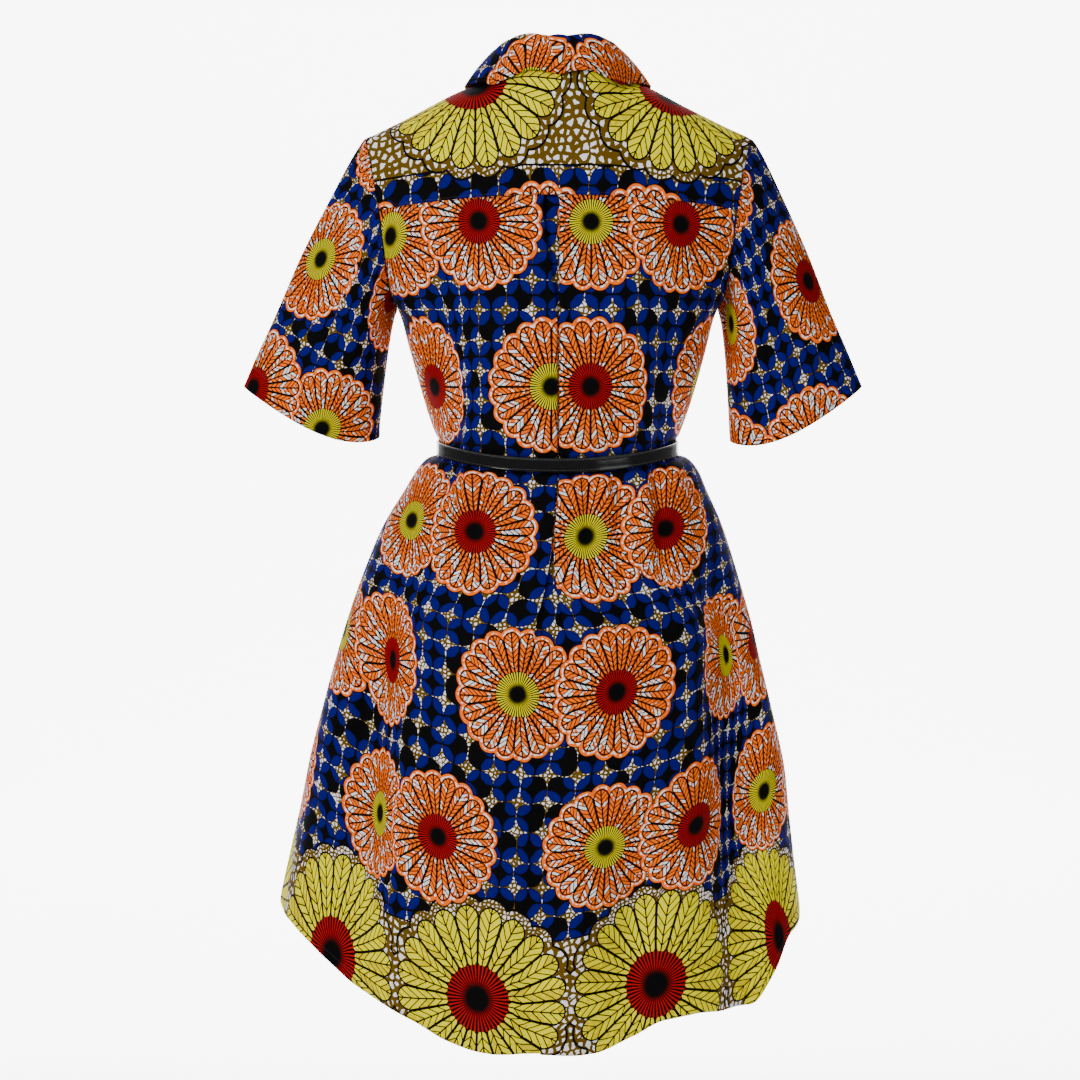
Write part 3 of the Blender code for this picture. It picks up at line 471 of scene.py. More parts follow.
def level_reach(x, z):
    """How deep the form is beside its middle on one level, as a share of its depth there."""
    return np.clip(1 - (np.abs(x) / half_width(z)) ** exponent(z), 0, 1) ** (1 / exponent(z))


def x_at(angle, z):
    return half_width(z) * np.sin(np.radians(angle)) ** (2 / exponent(z))


def section_y(face, reach, x, z):
    depth = back_y(z) if face > 0 else front_y(z)
    side = side_y(z)
    return (side + (depth - side) * reach) * shoulder_cap(share_up(x, z))


def fold_depth(face, side, angle, z):
    depth = np.zeros(np.broadcast(angle, z).shape)
    for fold_face, fold_side, top_angle, hem_angle, width, hem_depth, top in SKIRT_FOLDS:
        if (fold_face, fold_side) != (face, side):
            continue
        drop = smoothstep(0, 1, (top - z) / FOLD_FADE)
        middle = top_angle + (hem_angle - top_angle) * np.clip((top - z) / FOLD_LENGTH, 0, 1)
        depth = depth + hem_depth * drop * np.exp(-(((angle - middle) / width) ** 2))
    return depth


def form_point(face, side, angle, z):
    """A point of the body's form: face 1 for the back, side 1 for +x."""
    angle, z = np.broadcast_arrays(np.asarray(angle, float), np.asarray(z, float))
    level = z + waist_shift(face, angle, z)
    power = 2 / exponent(level)
    width = half_width(level)
    x = width * np.sin(np.radians(angle)) ** power
    reach = np.clip(np.cos(np.radians(angle)), 0, 1) ** power
    y = section_y(face, reach, x, level)
    out = unit(np.stack([x / width**2, (y - side_y(level)) / BODY_HALF_DEPTH**2], -1))
    moved = fold_depth(face, side, angle, z)
    return np.stack([side * (x + moved * out[..., 0]) + sway(z), y + moved * out[..., 1], z], -1)


def angle_at(face, x, z):
    level = z + waist_shift(face, 0.0, z)
    return np.degrees(np.arcsin(np.clip(np.abs(x) / half_width(level), 0, 1) ** (exponent(level) / 2)))


def edge_x(z):
    return np.where(z > ARMPIT, armhole_x(z), half_width(z))


def edge_angle(face, z):
    return np.where(z > ARMPIT, angle_at(face, edge_x(z), z), 90.0)


def finer(values, steps):
    """The same run of values with more steps between each two."""
    places = np.arange((len(values) - 1) * steps + 1) / steps
    return np.interp(places, np.arange(len(values)), values)


def half_panel(face, side, columns, middle, top_of):
    """Rows of angles and heights for half a panel, from its outer edge to where its middle starts."""
    edge_top = float(top_of(armhole_x(ARMHOLE_TOP)))
    levels = np.linspace(edge_top, ARMPIT, ARMHOLE_ROWS)
    share = np.linspace(0, 1, columns)
    hem = hem_curves[(face, side)]
    rows = []
    for number, level in enumerate(levels):
        outer, inner = edge_angle(face, level), angle_at(face, middle(level), level)
        angle = outer + (inner - outer) * share
        z = np.full(columns, level)
        fade = 1 - number / (ARMHOLE_ROWS - 1)
        if number == 0:
            for _ in range(SETTLE):
                x = x_at(angle, z)
                z = top_of(x)
                angle = angle_at(face, x, z)
            top_rise = z - level
        z = level + top_rise * fade
        if number:
            x_top = edge_x(level) * (rows[0][2] / rows[0][2][0])
            x = x_top * fade + x_at(angle, level) * (1 - fade)
            angle = angle_at(face, x, z)
            angle[0] = angle_at(face, edge_x(z[0]), z[0]) if number < ARMHOLE_ROWS - 1 else 90.0
        rows.append((angle, z, x))
    for level in finer((ARMPIT, *BODY_LEVELS), ROW_STEPS)[1:]:
        inner = angle_at(face, middle(level), level)
        angle = 90 + (inner - 90) * share
        rows.append((angle, dipped(face, angle, level) + 0 * angle, None))
    skirt_top = rows[-1][1]
    for share_down in np.linspace(0, 1, SKIRT_ROWS + 1)[1:]:
        z = skirt_top + (hem(90 * (1 - share)) - skirt_top) * share_down
        for _ in range(SETTLE):
            inner = angle_at(face, middle(z[-1]), z[-1])
            angle = 90 + (inner - 90) * share
            z = skirt_top + (hem(angle) - skirt_top) * share_down
        rows.append((angle, z, None))
    return np.array([row[0] for row in rows]), np.array([row[1] for row in rows])


def yoke_seam(x):
    drop = YOKE_SEAM_EDGE - YOKE_SEAM_CENTRE
    return YOKE_SEAM_CENTRE + drop * (np.abs(x) / armhole_x(YOKE_SEAM_EDGE)) ** 2 - SEAM_GAP / 2


def pleat_opening(z):
    return 1 - smoothstep(PLEAT_OPEN, PLEAT_OPENS, z)


def pleat_recess(side, z):
    return PLEAT_RECESS * smoothstep(RECESS_END, RECESS_TOP, z) if side > 0 else 0.0 * z


def pleat_edge(side, z):
    opened = pleat_opening(z)
    folded = PLEAT[-1, 1] + pleat_recess(side, z)
    return folded * (1 - opened) + PLEAT[-1, 0] * PLEAT_SPREAD * opened


def pleat_points(side, z):
    """The pleat's points beside the centre, for one row: place and depth beneath the form."""
    opened = pleat_opening(z)
    places = np.concatenate([i + np.arange(steps) / steps for i, steps in enumerate(PLEAT_STEPS)])
    along, folded_place, folded_depth = (np.interp(places, np.arange(len(PLEAT)), c) for c in PLEAT.T)
    valley = PLEAT_VALLEY * (0.5 + 0.5 * np.cos(math.pi * along / PLEAT[-1, 0]))
    shifted = folded_place + pleat_recess(side, z) * np.clip(along / PLEAT[1, 0], 0, 1)
    place_now = shifted * (1 - opened) + along * PLEAT_SPREAD * opened
    depth_now = folded_depth * (1 - opened) + valley * opened
    points = form_point(1, side, angle_at(1, place_now, z), np.full(len(along), z))
    points[:, 1] -= depth_now
    return points


def crease_moves(points, creases):
    """How far the listed troughs and ridges move each point, from their table of (x, z) runs."""
    moves = np.zeros(points.shape[:-1])
    for x1, z1, x2, z2, width, depth, full_at_start in creases:
        way = np.array([x2 - x1, z2 - z1], float)
        length = np.linalg.norm(way)
        from_start = points[..., [0, 2]] - (x1, z1)
        along = from_start @ way / length**2
        off = (from_start[..., 0] * way[1] - from_start[..., 1] * way[0]) / length
        head = smoothstep(-0.06, 0.06, along) if full_at_start else smoothstep(0, 0.4, along)
        moves += depth * np.exp(-((off / width) ** 2)) * head * (1 - smoothstep(0.45, 1, along))
    return moves


def slack(points, seed):
    """Slow unevenness of worn cloth."""
    x, z = points[..., 0], points[..., 2]
    near = np.sin(x / 29 + 1.9 * np.sin(z / 97 + seed)) * np.sin(z / 61 + 0.8 * np.sin(x / 53 + seed))
    return near + 0.6 * np.sin(x / 13 + seed + z / 41)


def from_edges(count):
    """How many rows or columns lie between each and the nearer end."""
    return np.minimum(np.arange(count), np.arange(count)[::-1])


def away_from(edges, reach):
    """0 on a seam's row or column of points, 1 from there on."""
    return smoothstep(0, reach, edges)


def outward(points):
    """The level direction out of the body, the same for all layers of a pleat."""
    x = (points[..., 0] - sway(points[..., 2])) / half_width(points[..., 2]) ** 2
    y = (points[..., 1] - side_y(points[..., 2])) / BODY_HALF_DEPTH**2
    return unit(np.stack([x, y, 0 * x], -1))


def lengths(grid, axis):
    """Length of the cloth from its first row or column."""
    steps = np.linalg.norm(np.diff(grid, axis=axis), axis=-1)
    start = np.zeros_like(np.take(steps, [0], axis=axis))
    return np.concatenate([start, np.cumsum(steps, axis=axis)], axis=axis)


def flat_place(grid, centre, anchor):
    """Where each point lies on the flat cloth, in mm: across from the centre column, and height."""
    across, down = lengths(grid, 1), lengths(grid, 0)
    across = across - across[:, centre : centre + 1]
    height = grid[anchor : anchor + 1, :, 2] + down[anchor : anchor + 1] - down
    return np.stack([across, height], -1)


def mesh_normals(grid):
    return unit(np.cross(np.gradient(grid, axis=0), np.gradient(grid, axis=1)))


def round_the_body(grid):
    return grid * (0, 0, 1) + (0, -20, 0)


def wrapped(number):
    """A grid of indices with its first column again at the end."""
    return np.concatenate([number, number[:, :1]], axis=1)


def quads(number):
    """The faces of a grid of indices."""
    return np.stack([number[:-1, :-1], number[1:, :-1], number[1:, 1:], number[:-1, 1:]], -1).reshape(-1, 4)


def cloth_sheet(name, grid, flat, thickness, material, inside, closed=False):
    """A cloth piece from rows of outer points and their places on the flat cloth, walled inwards."""
    if np.sum(mesh_normals(grid) * (grid - inside)) < 0:
        grid, flat = grid[:, ::-1], flat[:, ::-1]
    number, place = (np.arange(points[..., 0].size).reshape(points.shape[:2]) for points in (grid, flat))
    faces = quads(wrapped(number) if closed else number)
    piece = mesh_piece(name, grid.reshape(-1, 3) * MM, faces, material)
    flat_layer = piece.data.uv_layers.new(name="flat_cloth")
    flat_layer.uv.foreach_set("vector", (flat.reshape(-1, 2)[quads(place).reshape(-1)] * MM).reshape(-1))
    wall = piece.modifiers.new("Wall", "SOLIDIFY")
    wall.thickness = thickness * MM
    wall.offset = -1
    wall.use_even_offset = False
    wall.thickness_clamp = 0
    return piece


def petal_parts(x, y):
    """For a flower centred here: distance from the centre, turn in petals, distance across the petal,
    and depth inside the petal's rounded outline."""
    radius = (x * x + y * y).maths("SQRT")
    turn = y.maths("ARCTAN2", x) * (PETALS / math.tau)
    across = radius * abs(turn % 1 - 0.5) * (math.tau / PETALS)
    past = (radius - PETAL_ROUND).maths("MAXIMUM", 0.0)
    half = radius.maths("MINIMUM", PETAL_ROUND) * PETAL_SLOPE
    inside = half - (past * past + across * across).maths("SQRT")
    return radius, turn, across, inside


def print_colour(shade, pair_start, first_row, border_start, border_scale, band_top):
    """The wax print, worked out from the cloth's flat coordinates."""
    flat = shade.add("ShaderNodeUVMap", 0, {}, uv_map="flat_cloth")
    drift_u, drift_v = flat.noise(DRIFT_SCALE, 1.0, "Color").axes()
    place_u, place_v = flat.axes()
    u, v = place_u / MM + (drift_u - 0.5) * PRINT_DRIFT, place_v / MM + (drift_v - 0.5) * PRINT_DRIFT
    speck = flat.noise(SPECK_SCALE, 1.0)

    row = ((v - first_row) / ROW_STEP).maths("ROUND").maths("MAXIMUM", 0.0)
    shift = (row % 2) * -PAIR_SHIFT + (pair_start + PAIR_STEP / 2)
    t = (u - shift + PAIR_REPEAT / 2) % PAIR_REPEAT - PAIR_REPEAT / 2
    field_v = v - row * ROW_STEP - first_row
    red_heart = petal_parts(t - PAIR_STEP / 2, field_v)
    is_red = red_heart[3] > FIELD_RIM
    yellow_heart = petal_parts(t + PAIR_STEP / 2, field_v)
    field = [is_red.chosen(a, b) for a, b in zip(yellow_heart, red_heart)]
    in_field = field[3] > FIELD_RIM
    border_u = ((u - border_start + BORDER_STEP / 2) % BORDER_STEP - BORDER_STEP / 2) / border_scale
    border = petal_parts(border_u, v / border_scale)
    in_border = (border[3] > BORDER_RIM) * (1 - in_field)
    radius, turn, across, inside = (in_field.chosen(a, b) for a, b in zip(border, field))
    in_flower = in_field + in_border

    wander_u, wander_v = flat.noise(WANDER_SCALE, 2.0, "Color").axes()
    ground_u = (u + (wander_u - 0.5) * GROUND_WANDER) / GROUND_CELL
    ground_v = (v + (wander_v - 0.5) * GROUND_WANDER) / GROUND_CELL
    cell_u, cell_v = abs(ground_u % 1 - 0.5), abs(ground_v % 1 - 0.5)
    quarter_mark = (ground_u * 2).maths("FLOOR") * TURN_MARK + (ground_v * 2).maths("FLOOR") * STEP_MARK
    inked = shade.add("ShaderNodeTexWhiteNoise", "Value", {"W": quarter_mark}, noise_dimensions="1D") < INKED_SHARE
    to_middle = (cell_u.maths("POWER", CELL_POWER) + cell_v.maths("POWER", CELL_POWER)).maths("POWER", 1 / CELL_POWER)
    corner_u, corner_v = 0.5 - cell_u, 0.5 - cell_v
    to_corner = (corner_u * corner_u + corner_v * corner_v).maths("SQRT")
    in_band = v < band_top
    stone_size = {0: flat, 3: in_band.chosen(FIELD_PEBBLES, BAND_PEBBLES)}
    stones_at = flat.add("ShaderNodeVectorMath", 0, stone_size, operation="SCALE")
    stone_inputs = {"Vector": stones_at, "Scale": 1.0, "Randomness": 0.85}
    stones = flat.add(
        "ShaderNodeTexVoronoi", "Distance", stone_inputs, voronoi_dimensions="2D", feature="DISTANCE_TO_EDGE"
    )
    uneven = stones + (speck - 0.5) * PEBBLE_SPECKS + (drift_u - 0.5) * PEBBLE_WAVES
    pebbles = (uneven > PEBBLE_EDGE).colour(OLIVE, CREAM)
    ragged = (speck - 0.5) * RAGGED_EDGE
    leaf = (to_middle + ragged < LEAF_OUTSIDE) * (to_corner + ragged < LEAF_INSIDE)
    leaf = leaf * (cell_u.maths("MINIMUM", cell_v) > LEAF_GAP) * (1 - inked)
    ground = leaf.colour(BLACK, BLUE)
    ground = (to_middle + ragged > STAR_EDGE).colour(ground, pebbles)
    ground = in_band.colour(ground, pebbles)
    ground = (abs(v - band_top) < BAND_LINE).colour(ground, BLACK)

    vein = (radius - across * in_field.chosen(*VEIN_SLOPE)) / in_field.chosen(*VEIN_STEP)
    cell_mark = turn.maths("FLOOR") * TURN_MARK + vein.maths("FLOOR") * STEP_MARK + (turn % 1 > 0.5) * HALF_MARK
    chance = shade.add("ShaderNodeTexWhiteNoise", "Value", {"W": cell_mark}, noise_dimensions="1D")
    pale = chance * PALE_CHANCE + speck * PALE_SPECKS > PALE_FROM
    petal_colour = in_field.colour(pale.colour(YELLOW, GOLD), pale.colour(ORANGE, CREAM))
    rim_band = abs(inside + RIM_LINE) + (speck - 0.5) * RIM_LINE_WAVES < RIM_LINE_HALF
    rim_colour = in_field.colour(pebbles, rim_band.colour(ORANGE, CREAM))
    rim_inside = in_field.chosen(BORDER_RIM + RIM_INK[0], FIELD_RIM + RIM_INK[1])
    rim_ink = (inside < rim_inside).maths("MAXIMUM", inside > RIM_START)
    rim_colour = rim_ink.colour(rim_colour, BLACK)
    ink = ((vein % 1) < in_field.chosen(*VEIN_INK)).maths("MAXIMUM", across < in_field.chosen(*MIDRIB))
    ink = ink.maths("MAXIMUM", inside < in_field.chosen(*PETAL_EDGE))
    flower = ink.colour(petal_colour, BLACK)
    flower = (inside < 0.0).colour(flower, rim_colour)
    red_now = is_red.maths("MAXIMUM", 1 - in_field)
    ray = abs((turn * (RAYS / PETALS)) % 1 - 0.5) < red_now.chosen(*RAY_SHARE)
    lit = ray * radius.ramp(*RAYS_FADE)
    disc = lit.colour(BLACK, red_now.colour(YELLOW, RED))
    flower = (radius < DISC).colour(flower, disc)
    return in_flower.colour(ground, flower), flat, speck


def printed_cotton(name, **layout):
    """The dress's cloth: its print, a fine weave and a dull finish."""
    material, shader, shade = new_finish(name, 0.8, Specular_IOR_Level=0.06)
    colour, flat, speck = print_colour(shade, **layout)
    colour.into(shader, "Base Color")
    warp, weft = ((way * (math.tau / WEAVE)).maths("SINE") for way in flat.axes())
    bump = {"Height": warp * weft + speck * 2, "Strength": 0.12, "Distance": 0.0003}
    shade.add("ShaderNodeBump", 0, bump).into(shader, "Normal")
    return material


wax_cotton = printed_cotton(
    "wax_printed_cotton",
    pair_start=PAIR_START,
    first_row=FIRST_ROW,
    border_start=BORDER_START,
    border_scale=BORDER_SCALE,
    band_top=BAND_TOP,
)

back_halves, back_middle = [], sum(PLEAT_STEPS)
for side in (1, -1):
    angles, heights = half_panel(1, side, BACK_COLUMNS, lambda z: pleat_edge(side, z), yoke_seam)
    half = form_point(1, side, angles, heights)
    half[ARMHOLE_ROWS - 1 :, 0, 1] += SEAM_GAP / 2
    pleat = np.array([pleat_points(side, row[-1])[::-1] for row in heights])
    back_halves.append(np.concatenate([half, pleat], axis=1))
back_grid = np.concatenate([back_halves[0], back_halves[1][:, -2::-1]], axis=1)
back_centre = BACK_COLUMNS + back_middle - 1
back_levels = back_grid[..., 2] + waist_shift(1, angle_at(1, back_grid[..., 0], back_grid[..., 2]), back_grid[..., 2])


def cloth_moved(grid, levels, creases, seed):
    """The cloth with its creases and slack, still where a seam or the belt holds it."""
    rows, columns = grid.shape[:2]
    from_top = away_from(np.arange(rows)[:, None], 4)
    from_side = from_edges(columns)[None]
    held = from_top * away_from(from_side, 3) * smoothstep(9, 26, np.abs(levels - BELT_SIDE))
    moves = CREASE_DEPTH * crease_moves(grid, creases) * away_from(from_side, 3) * from_top
    moves = moves * smoothstep(8.5, 16, np.abs(levels - BELT_SIDE)) + BODY_SLACK * slack(grid, seed) * held
    roll = np.zeros((rows, columns))
    roll[0], roll[:, 0] = 1, 1
    return grid + outward(grid) * (moves - SEAM_ROLL * roll)[..., None]


waist_row = int(np.argmin(np.abs(back_levels[:, back_centre] - BELT_SIDE)))
back_cloth = cloth_moved(back_grid, back_levels, BACK_CREASES, 0.4)
back_flat = flat_place(back_grid, back_centre, waist_row) - (0, BORDER_HEIGHT)
ease, left_fold, left_taken, right_fold, right_taken, pulled = (
    smooth_curve(PRINT_LIE, c)(back_grid[..., 2]) for c in range(1, 7)
)
from_middle = back_grid[..., 0] - sway(back_grid[..., 2])
back_flat[..., 0] -= left_taken * smoothstep(-TAKEN_REACH, TAKEN_REACH, from_middle - left_fold) + pulled
back_flat[..., 0] += right_taken * smoothstep(-TAKEN_REACH, TAKEN_REACH, -from_middle - right_fold)
side_rise = sum(rise * smoothstep(start, end, back_grid[..., 2]) for rise, start, end in PRINT_SIDE_RISE)
back_flat[..., 1] += ease - side_rise * (from_middle / PRINT_SIDE) ** 2
back_flat[..., 1] -= HEM_PRINT_TILT * smoothstep(-720, -900, back_grid[..., 2]) * smoothstep(-30, 60, -from_middle)
back = cloth_sheet("back_panel", back_cloth, back_flat, CLOTH, wax_cotton, round_the_body(back_cloth))
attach(back, "root")
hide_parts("back")

# Front panels, left and right: the same cotton, cut from the yoke's front seam and the neck to the hem,
# meeting at the centre under the button band.

FRONT_CREASES = [
    # x1, z1, x2, z2, half_width, depth, full_at_start
    (92, -376, 84, -322, 6, -3.0, 1),
    (66, -376, 63, -330, 5, 2.2, 1),
    (38, -377, 40, -316, 6, -2.8, 1),
    (-36, -377, -33, -326, 6, -2.8, 1),
    (-58, -376, -60, -318, 5, 2.4, 1),
    (-90, -376, -83, -326, 6, -3.2, 1),
    (104, -394, 122, -520, 7, -4.4, 1),
    (78, -394, 86, -480, 6, 3.2, 1),
    (52, -394, 57, -540, 7, -4.2, 1),
    (-44, -394, -48, -500, 6, -4.0, 1),
    (-68, -394, -76, -560, 7, 3.4, 1),
    (-96, -394, -112, -520, 7, -4.6, 1),
    (164, -236, 112, -304, 10, -3.2, 0),
    (-164, -236, -108, -312, 10, -3.4, 0),
    (148, -130, 126, -210, 12, -2.2, 0),
    (-150, -134, -130, -216, 12, -2.2, 0),
    (150, -600, 186, -850, 14, -6.0, 0),
    (-156, -580, -190, -830, 14, -6.0, 0),
    (84, -700, 98, -910, 17, 5.0, 0),
    (-80, -720, -100, -905, 18, -5.0, 0),
]
PLACKET_WIDTH = 30.0
FRONT_SEAM_TURN, FRONT_SEAM_FALL = 112.0, 22.0


def over_point(x, turn):
    """A point of the shoulders: turn 0 at the back, 90 on the ridge, 180 at the front."""
    x, turn = np.broadcast_arrays(np.asarray(x, float), np.asarray(turn, float))
    power = 2 / SHOULDER_ROUNDING
    rise = np.clip(np.sin(np.radians(turn)), 0, 1) ** power
    z = SPRING + (ridge(np.abs(x)) - SPRING) * rise
    cap = np.abs(np.cos(np.radians(turn))) ** power
    side = side_y(z)
    depth = np.where(turn < 90, back_y(z), front_y(z))
    return np.stack([x, (side + (depth - side) * level_reach(x, z)) * cap, z], -1)


def neck_turn(x, y):
    """The turn at which the shoulders pass over a point of the plan."""
    face = np.where(y >= 0, 1, -1)
    z = ridge(np.abs(x))
    for _ in range(3 * SETTLE):
        depth = np.where(face > 0, back_y(z), front_y(z))
        rise = shoulder_cap(np.clip(y / (side_y(z) + (depth - side_y(z)) * level_reach(x, z)), 0, 1))
        z = 0.5 * z + 0.5 * (SPRING + (ridge(np.abs(x)) - SPRING) * rise)
    turn = np.degrees(np.arcsin(np.clip(rise, 0, 1) ** (SHOULDER_ROUNDING / 2)))
    return np.where(face > 0, turn, 180 - turn)


def neckline(station):
    """x and turn of the neck seam: station 0 at the nape, 90 on the shoulder, 180 at the front."""
    station = np.asarray(station, float)
    x = NECK_WIDTH * np.sin(np.radians(station))
    depth = np.where(station < 90, NECK_BACK, NECK_FRONT)
    y = depth * np.cos(np.radians(station))
    return x, neck_turn(x, y)


def front_seam_turn(x):
    return FRONT_SEAM_TURN + FRONT_SEAM_FALL * smoothstep(NECK_WIDTH, 200, x)


def find_front_corner():
    """x at which the yoke's front seam meets the neck."""
    station = np.linspace(95, 150, 221)
    x, turn = neckline(station)
    return x[np.argmin(np.abs(turn - front_seam_turn(x)))]


front_corner = find_front_corner()


def front_top(x):
    """Height of the front's top edge: the yoke's seam, then the neck."""
    x = np.abs(x)
    station = 180 - np.degrees(np.arcsin(np.clip(x / NECK_WIDTH, 0, 1)))
    neck_x, turn = neckline(station)
    seam = over_point(x, front_seam_turn(x))[..., 2]
    neck = over_point(neck_x, turn)[..., 2]
    return np.where(x > front_corner, seam, np.minimum(seam, neck)) - SEAM_GAP / 2


front_grids, front_cloths = {}, {}
for side in (1, -1):
    angles, heights = half_panel(-1, side, FRONT_COLUMNS, lambda z: PLACKET_WIDTH / 2, front_top)
    grid = form_point(-1, side, angles, heights)
    grid[ARMHOLE_ROWS - 1 :, 0, 1] -= SEAM_GAP / 2
    neck_drop = front_top(SEAM_GAP / 2) - heights[0, -1]
    fade = np.clip(1 - np.arange(len(heights)) / (ARMHOLE_ROWS - 1), 0, 1)
    middle = []
    for middle_x, share in ((10.0, 0.35), (5.0, 0.7), (SEAM_GAP / 2, 1.0)):
        middle_z = heights[:, -1] + neck_drop * fade * share
        middle.append(form_point(-1, side, angle_at(-1, middle_x, middle_z), middle_z))
    grid = np.concatenate([grid, np.stack(middle, axis=1)], axis=1)
    levels = grid[..., 2] + waist_shift(-1, angle_at(-1, grid[..., 0], grid[..., 2]), grid[..., 2])
    cloth = cloth_moved(grid, levels, FRONT_CREASES, 2.1 + side)
    front_waist = int(np.argmin(np.abs(levels[:, -1] - BELT_SIDE)))
    flat = flat_place(grid, grid.shape[1] - 1, front_waist) - (0, BORDER_HEIGHT + FRONT_PRINT_DROP)
    name = "front_panel_left" if side > 0 else "front_panel_right"
    flat = flat * (-side if flat[0, 0, 0] < 0 else side, 1)
    front = cloth_sheet(name, cloth, flat, CLOTH, wax_cotton, round_the_body(cloth))
    front_grids[side], front_cloths[side] = grid, cloth
    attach(front, "root")
    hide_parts("front_left" if side > 0 else "front_right")

# Button band: a straight strip of the same cotton, folded and stitched down the centre front.

strip = np.concatenate([front_cloths[-1][:, -4:-1], front_cloths[-1][:, -1:], front_cloths[1][:, -2:-5:-1]], axis=1)
strip[:, 3] = (front_cloths[-1][:, -1] + front_cloths[1][:, -1]) / 2
placket_out = mesh_normals(strip)
placket_out *= np.sign(-placket_out[..., 1:2])
placket_grid = strip + placket_out * (LAY_GAP + CAD_CLOTH)
placket_flat = flat_place(placket_grid, 3, front_waist) - (0, BORDER_HEIGHT + FRONT_PRINT_DROP)
placket = cloth_sheet("button_band", placket_grid, placket_flat, CLOTH, wax_cotton, round_the_body(placket_grid))
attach(placket, "root")
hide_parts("placket")

# Yoke: one piece over the back and both shoulders, its print turned so that the border runs along the neck.

# Print on the yoke: how far above its back seam the row of hearts lies, and how much the shoulder eases it
YOKE_HEARTS, YOKE_PRINT_DROP = 134.0, 0.8
YOKE_BORDER_START, YOKE_BORDER_SCALE, YOKE_BAND_TOP, YOKE_PRINT_EASE = 110.0, 1.38, 83.0, 0.95
YOKE_PAIR_START, YOKE_FIRST_ROW = -18.0, 161.0


def turn_at(x, z):
    """The turn over the shoulder at which the back of the form has this height."""
    return np.degrees(np.arcsin(share_up(x, z) ** (SHOULDER_ROUNDING / 2)))


front_edge = front_grids[1][0, :, :]
edge_start = front_edge[0, 0]
row_x = np.array([x for x in front_edge[:, 0] if x > front_corner - 2][::-1])
row_share = (row_x - row_x[0]) / (row_x[-1] - row_x[0])
seam_x = back_grid[0, :BACK_COLUMNS, 0]
start_turn, end_turn = front_seam_turn(edge_start), turn_at(seam_x[0], yoke_seam(seam_x[0]))
outline = []
for turn in np.linspace(start_turn, end_turn, YOKE_EDGE_COLUMNS + 1)[:-1]:
    x = edge_start
    for _ in range(3 * SETTLE):
        x = float(armhole_x(over_point(x, turn)[2]))
    outline.append((x, turn))
outline += [(x, turn_at(x, yoke_seam(x) + SEAM_GAP)) for x in seam_x]
outline += [(x, turn_at(x, yoke_seam(x) + SEAM_GAP)) for x in np.linspace(seam_x[-1], 0, 13)[1:]]
outline = np.array(outline)
corner_station = 180 - math.degrees(math.asin(front_corner / NECK_WIDTH))
neck_x, neck_turns = neckline(np.linspace(corner_station, 0, len(outline)))
neck = np.stack([neck_x, neck_turns], -1)
half = neck[None] + (outline - neck)[None] * row_share[:, None, None]
half[:, 0, 0], half[:, 0, 1] = row_x, front_seam_turn(row_x)
half_yoke = over_point(half[..., 0], half[..., 1])
half_yoke[:, 0, 1] += SEAM_GAP / 2
yoke_grid = np.concatenate([half_yoke, half_yoke[:, -2::-1] * (-1, 1, 1)], axis=1)
yoke_rise = mesh_normals(yoke_grid)
yoke_rise *= np.sign(np.sum(yoke_rise * (yoke_grid - (0, 0, SPRING)), -1, keepdims=True))
rows, columns = yoke_grid.shape[:2]
ease = away_from(from_edges(rows)[:, None], 6) * away_from(from_edges(columns)[None], 6)
waves = 0.5 * slack(yoke_grid, 1.2) + 0.5 * np.sin(yoke_grid[..., 0] / 17 + yoke_grid[..., 1] / 31)
rolled = np.zeros((rows, columns))
rolled[[0, -1]], rolled[:, [0, -1]] = 1, 1
yoke_cloth = yoke_grid + yoke_rise * (waves * ease - SEAM_ROLL * rolled)[..., None]
yoke_cotton = printed_cotton(
    "wax_printed_cotton_yoke",
    pair_start=YOKE_PAIR_START,
    first_row=YOKE_FIRST_ROW,
    border_start=YOKE_BORDER_START,
    border_scale=YOKE_BORDER_SCALE,
    band_top=YOKE_BAND_TOP,
)
yoke_x = np.abs(np.concatenate([half[..., 0], half[:, -2::-1, 0]], axis=1))
yoke_turns = np.concatenate([half[..., 1], half[:, -2::-1, 1]], axis=1)
seam_turns = turn_at(yoke_x, yoke_seam(yoke_x))
climb_turns = seam_turns[..., None] + (yoke_turns - seam_turns)[..., None] * np.linspace(0, 1, 25)
climb = over_point(yoke_x[..., None], climb_turns)
above_seam = np.linalg.norm(np.diff(climb, axis=2), axis=-1).sum(-1)
yoke_flat = np.stack([-YOKE_PRINT_EASE * yoke_grid[..., 0], (YOKE_HEARTS - above_seam) * YOKE_PRINT_DROP], -1)
yoke = cloth_sheet("yoke_cloth", yoke_cloth, yoke_flat, CLOTH, yoke_cotton, (0, 0, SPRING))
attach(yoke, "root")
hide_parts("yoke")

# Sleeves: one set-in piece each, seamed under the arm and turned up at the elbow. Left and right are cut
# from different places of the print, and the left one hangs a little further out.

